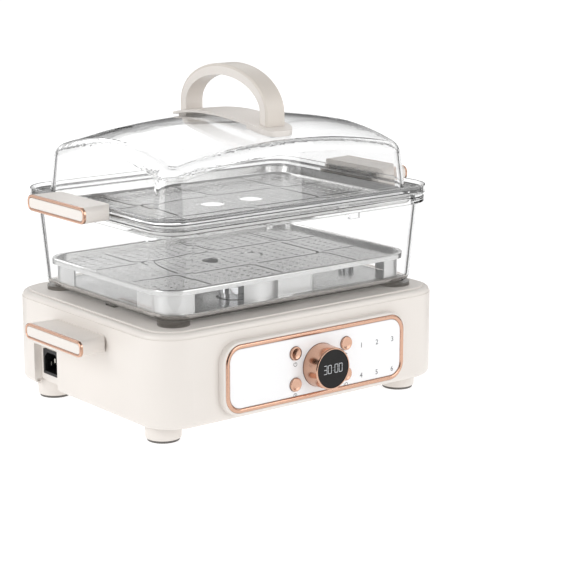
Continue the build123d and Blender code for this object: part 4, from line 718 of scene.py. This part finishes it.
class STEAMER_OT_sheets(bpy.types.Operator):
    """Drills the rack's and the tray's floors, gives the steel sheets their finish and paints shade into
    their creases
    """

    bl_idname = "steamer.sheets"
    bl_label = "Perforated sheets"

    def execute(self, context):
        sheets = context.scene.steamer_sheets
        steel = pressed_stainless("cold_rolled_stainless", (14.0, 1.0, 1.0), 0.19)
        upright = pressed_stainless("rolled_stainless_legs", (1.0, 1.0, 14.0), 0.34)
        # darker steel for the creases: painted shade where the pressed creases would fall into shadow
        pressed = small_metal("stainless_painted_crease_shade", "#6E6E6D", "#5A5A59", 0.35)
        paint(upright, "rack_legs")
        paint(steel, "floor_plate")
        NODES["floor_plate"].visible_shadow = False  # keeps the deck under the clear floor from going black
        for node, top in SHEET_FLOORS.items():  # each sheet's body has the sheet's name
            sheet = drill(sheet_copy(node), top, sheets)
            settle(sheet, node + "_perforated", steel, node)
            sheet.data.materials.append(pressed)
            # faces that look up and lie below the flat top are the creases' walls and floors; they take the
            # painted crease shade
            for face in sheet.data.polygons:
                if face.normal.z > 0.05 and face.center.z < top - FLAT:
                    face.material_index = 1
            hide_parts(node)
        return {"FINISHED"}


# ---------------------------------------------------------------- marks
def front_of(node):
    """The Y of a node's front."""
    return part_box(node)[0][1]


def printed_number(number, x, z, y, height):
    """A number as a thin printed mesh on a face that looks towards -Y."""
    deselect()
    bpy.ops.object.text_add(location=(x, y - PROUD, z - height / 2), rotation=(math.pi / 2, 0.0, 0.0))
    text = bpy.context.object
    text.data.body = str(number)
    text.data.align_x = "CENTER"
    text.data.size = height / 0.72  # figures stand 0.72 of the font's size
    text.data.extrude = PROUD / 2
    bpy.ops.object.convert(target="MESH")
    bpy.ops.object.transform_apply(location=True, rotation=True, scale=True)
    return bpy.context.object


def printed_bar(x, z, y, width, height, turn=0.0, corner=0.45):
    """A flat bar with rounded corners, printed on a face that looks towards -Y."""
    deselect()
    bpy.ops.mesh.primitive_plane_add(size=1.0, location=(x, y - PROUD, z), rotation=(math.pi / 2, 0.0, 0.0))
    bar = bpy.context.object
    bar.scale = (width, height, 1.0)
    bpy.ops.object.transform_apply(location=False, rotation=False, scale=True)
    bpy.ops.object.mode_set(mode="EDIT")
    bpy.ops.mesh.select_all(action="SELECT")
    bpy.ops.mesh.bevel(offset=min(width, height) * corner, segments=3, affect="VERTICES")
    bpy.ops.mesh.extrude_region_move(TRANSFORM_OT_translate={"value": (0.0, PROUD, 0.0)})
    bpy.ops.object.mode_set(mode="OBJECT")
    bar.rotation_euler = (math.pi / 2, turn, 0.0)
    bpy.ops.object.transform_apply(location=True, rotation=True, scale=True)
    return bar


def printed_ring(x, z, y, radius, stroke, gap=0.0):
    """A ring, open at its top by a gap angle, printed on a face that looks towards -Y."""
    length = (math.tau - gap) * radius / RING_STEPS * RING_OVERLAP
    pieces = []
    for step in range(RING_STEPS):
        angle = gap / 2 + (math.tau - gap) * (step + 0.5) / RING_STEPS
        px = x + radius * math.sin(angle)
        pz = z + radius * math.cos(angle)
        pieces.append(printed_bar(px, pz, y, length, stroke, turn=angle, corner=0.0))
    return joined(pieces)


# middle of each segment as a share of the digit's half width and half height, and whether it is level
SEGMENTS = {
    "a": (0.0, 1.0, True),
    "b": (1.0, 0.5, False),
    "c": (1.0, -0.5, False),
    "d": (0.0, -1.0, True),
    "e": (-1.0, -0.5, False),
    "f": (-1.0, 0.5, False),
    "g": (0.0, 0.0, True),
}
LIT = {"3": "abcdg", "0": "abcdef"}


def lit_digit(digit, x, z, y, height, stroke):
    """The lit segments of one digit, a little apart from each other."""
    half_height = (height - stroke) / 2
    half_width = half_height * 0.46
    bars = []
    for name in LIT[digit]:
        sx, sz, level = SEGMENTS[name]
        length = 2 * half_width - stroke * 0.55 if level else half_height - stroke * 0.55
        size = (length, stroke) if level else (stroke, length)
        bars.append(printed_bar(x + sx * half_width, z + sz * half_height, y, *size))
    return bars


class STEAMER_OT_marks(bpy.types.Operator):
    """Prints the panel's numbers and signs, and lights the display's digits"""

    bl_idname = "steamer.marks"
    bl_label = "Panel marks"

    def execute(self, context):
        panel = context.scene.steamer_panel
        colours = context.scene.steamer_colours
        ink = printed_ink(rgba(colours.ink))
        face = front_of("panel_face")
        self.numbers(panel, ink, face)
        self.signs(panel, ink, face)
        self.digits(panel, lit_segments(rgba(colours.glow)))
        return {"FINISHED"}

    def numbers(self, panel, ink, face):
        """Two rows of three numbers on the right of the plate."""
        pieces = []
        for z in NUMBER_ROWS:
            for x in NUMBER_COLUMNS:
                pieces.append(printed_number(len(pieces) + 1, x, z, face, panel.number_height))
        settle(joined(pieces), "panel_numbers", ink, "base")

    def signs(self, panel, ink, face):
        """A plain sign under each button: a ring with a bar, a dial, a pointer, and a bar beside a ring."""
        radius = panel.mark_radius
        stroke = radius * 0.26
        places = {}
        for name in BUTTON_NODES:
            low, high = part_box(name)
            places[name] = ((low[0] + high[0]) / 2, (low[2] + high[2]) / 2 - SIGN_DROP)
        x, z = places["button_upper_left"]
        pieces = [printed_ring(x, z, face, radius, stroke, gap=1.1)]
        pieces.append(printed_bar(x, z + radius * 0.55, face, stroke, radius * 1.1))
        x, z = places["button_lower_left"]
        pieces.append(printed_ring(x, z, face, radius, stroke))
        pieces.append(printed_bar(x, z + radius * 0.3, face, stroke, radius * 0.75))
        pieces.append(printed_bar(x + radius * 0.25, z, face, radius * 0.6, stroke))
        x, z = places["button_upper_right"]
        for turn in (-1, 1):
            angle = turn * math.radians(30)
            side = z + turn * radius * 0.45
            pieces.append(printed_bar(x + radius * 0.1, side, face, radius * 1.9, stroke, turn=angle))
        pieces.append(printed_bar(x - radius * 0.7, z, face, stroke, radius * 1.9))
        x, z = places["button_lower_right"]
        pieces.append(printed_bar(x - radius * 0.95, z, face, stroke, radius * 1.7))
        pieces.append(printed_ring(x + radius * 0.55, z, face, radius * 0.85, stroke))
        settle(joined(pieces), "panel_signs", ink, "base")

    def digits(self, panel, glow):
        """Four digits and a colon on the display's window."""
        low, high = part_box("display_lens")
        x, z = (low[0] + high[0]) / 2, (low[2] + high[2]) / 2
        height, stroke = panel.digit_height, panel.stroke
        step = height * 0.62
        pieces = []
        for place, digit in zip((-1.75, -0.75, 0.75, 1.75), "3000"):
            pieces += lit_digit(digit, x + place * step, z, low[1], height, stroke)
        for side in (-1, 1):
            pieces.append(printed_bar(x, z + side * height * 0.16, low[1], stroke, stroke))
        settle(joined(pieces), "display_digits", glow, "base")


# ---------------------------------------------------------------- stage
def soft_light(name, power, size, place, aim):
    """A square area light that points at a place."""
    deselect()
    bpy.ops.object.light_add(type="AREA", location=place)
    light = bpy.context.object
    light.name = name
    light.data.shape = "RECTANGLE"
    light.data.size, light.data.size_y = size
    light.data.energy = power
    light.rotation_euler = (Vector(aim) - Vector(place)).to_track_quat("-Z", "Y").to_euler()
    return light


def grey_card(name, place, turn, width, height, tone):
    """An upright card that only reflections and clear walls show, to draw their edges; it casts no shadow."""
    deselect()
    bpy.ops.mesh.primitive_plane_add(
        size=1.0, location=(place[0], place[1], height / 2 + 0.002), rotation=(math.pi / 2, 0.0, turn)
    )
    card = bpy.context.object
    card.scale = (width, height, 1.0)
    bpy.ops.object.transform_apply(location=True, rotation=True, scale=True)
    card.name = name
    card.visible_camera = False
    card.visible_diffuse = False
    card.visible_shadow = False
    card.visible_volume_scatter = False
    material, tree = new_material(name)
    finish_material(tree, add_node(tree, "ShaderNodeEmission", values={"Color": linear(tone)}))
    card.data.materials.append(material)
    return card


class STEAMER_OT_stage(bpy.types.Operator):
    """Adds the floor, the soft studio light and the camera"""

    bl_idname = "steamer.stage"
    bl_label = "Stage"

    def execute(self, context):
        stage = context.scene.steamer_stage
        deselect()
        bpy.ops.mesh.primitive_plane_add(size=90.0, location=(0.0, 0.0, 0.0))
        floor = bpy.context.object
        floor.name = "floor"
        floor.data.materials.append(pale_ground())
        middle = (0.0, 0.0, 0.15)
        soft_light("left_box", stage.key_power, (1.3, 1.7), (-2.1, 0.2, 0.9), middle)
        soft_light("front_box", stage.fill_power, (1.5, 1.7), (0.75, -2.1, 0.9), middle)
        back = soft_light("back_box", stage.fill_power, (1.8, 1.0), (0.5, 2.1, 1.5), middle)
        back.visible_glossy = False
        turn = stage.camera_turn[2]
        ahead = Vector((-math.sin(turn), math.cos(turn)))
        aside = Vector((math.cos(turn), math.sin(turn)))
        for side, name in ((-1, "left_card"), (1, "right_card")):
            grey_card(name, ahead * 0.15 + aside * side * 0.36, turn + math.pi / 2, **SIDE_CARD)
        near = grey_card("near_card", ahead * -0.44 + aside * 0.03, turn, **NEAR_CARD)
        near.visible_transmission = False  # it shows in reflections alone
        context.scene.view_settings.view_transform = "Standard"
        paths = context.scene.cycles  # clear walls behind clear walls need long light paths
        paths.max_bounces = 20
        paths.glossy_bounces = 12
        paths.transmission_bounces = 20
        paths.transparent_max_bounces = 32
        self.sky(stage)
        deselect()
        bpy.ops.object.camera_add(location=stage.camera_place, rotation=stage.camera_turn)
        camera = bpy.context.object
        camera.name = "main_camera"
        camera.data.lens = stage.lens
        camera.data.sensor_width = 36.0
        camera.data.clip_start = 0.05
        context.scene.camera = camera
        return {"FINISHED"}

    def sky(self, stage):
        """A bright band all round, greyer at the horizon and straight above, so that edges draw."""
        world = bpy.data.worlds.new("studio")
        bpy.context.scene.world = world
        world.use_nodes = True
        tree = world.node_tree
        tree.nodes.clear()
        place = add_node(tree, "ShaderNodeTexCoord")
        parts = add_node(tree, "ShaderNodeSeparateXYZ", links={"Vector": place.outputs["Generated"]})
        rise = add_node(
            tree,
            "ShaderNodeMapRange",
            settings={"interpolation_type": "SMOOTHSTEP"},
            values={"From Min": 0.02, "From Max": 0.4, "To Min": stage.horizon, "To Max": stage.sky},
            links={"Value": parts.outputs["Z"]},
        )
        fall = add_node(
            tree,
            "ShaderNodeMapRange",
            settings={"interpolation_type": "SMOOTHSTEP"},
            values={"From Min": 0.45, "From Max": 0.85, "To Min": 1.0, "To Max": stage.zenith},
            links={"Value": parts.outputs["Z"]},
        )
        height = add_node(
            tree,
            "ShaderNodeMath",
            settings={"operation": "MULTIPLY"},
            links={0: rise.outputs["Result"], 1: fall.outputs["Result"]},
        )
        light = add_node(
            tree,
            "ShaderNodeBackground",
            values={"Color": linear("#FFFFFF")},
            links={"Strength": height.outputs["Value"]},
        )
        add_node(tree, "ShaderNodeOutputWorld", links={"Surface": light.outputs[0]})


# ================================================================ panel and registration
STEPS = (
    STEAMER_OT_mouldings,
    STEAMER_OT_rose_gold,
    STEAMER_OT_clear_walls,
    STEAMER_OT_fittings,
    STEAMER_OT_sheets,
    STEAMER_OT_marks,
    STEAMER_OT_stage,
)
GROUPS = {
    "steamer_colours": SteamerColours,
    "steamer_sheets": SteamerSheets,
    "steamer_panel": SteamerPanel,
    "steamer_stage": SteamerStage,
}


class STEAMER_PT_sidebar(bpy.types.Panel):
    """Lists the steamer's settings and steps"""

    bl_idname = "STEAMER_PT_sidebar"
    bl_label = "Food steamer"
    bl_space_type = "VIEW_3D"
    bl_region_type = "UI"
    bl_category = "Steamer"

    def draw(self, context):
        for name in GROUPS:
            box = self.layout.box()
            group = getattr(context.scene, name)
            for prop in group.bl_rna.properties:
                if prop.identifier not in {"rna_type", "name"}:
                    box.prop(group, prop.identifier)
        for step in STEPS:
            self.layout.operator(step.bl_idname)


def register():
    """Registers the groups, the steps and the panel."""
    for name, group in GROUPS.items():
        bpy.utils.register_class(group)
        setattr(bpy.types.Scene, name, bpy.props.PointerProperty(type=group))
    for step in STEPS:
        bpy.utils.register_class(step)
    bpy.utils.register_class(STEAMER_PT_sidebar)


def unregister():
    """Takes them all away again."""
    bpy.utils.unregister_class(STEAMER_PT_sidebar)
    for step in reversed(STEPS):
        bpy.utils.unregister_class(step)
    for name, group in reversed(GROUPS.items()):
        delattr(bpy.types.Scene, name)
        bpy.utils.unregister_class(group)


def main():
    """Runs every step in order."""
    register()
    for step in STEPS:
        group, call = step.bl_idname.split(".")
        getattr(getattr(bpy.ops, group), call)()


if __name__ == "__main__":
    main()
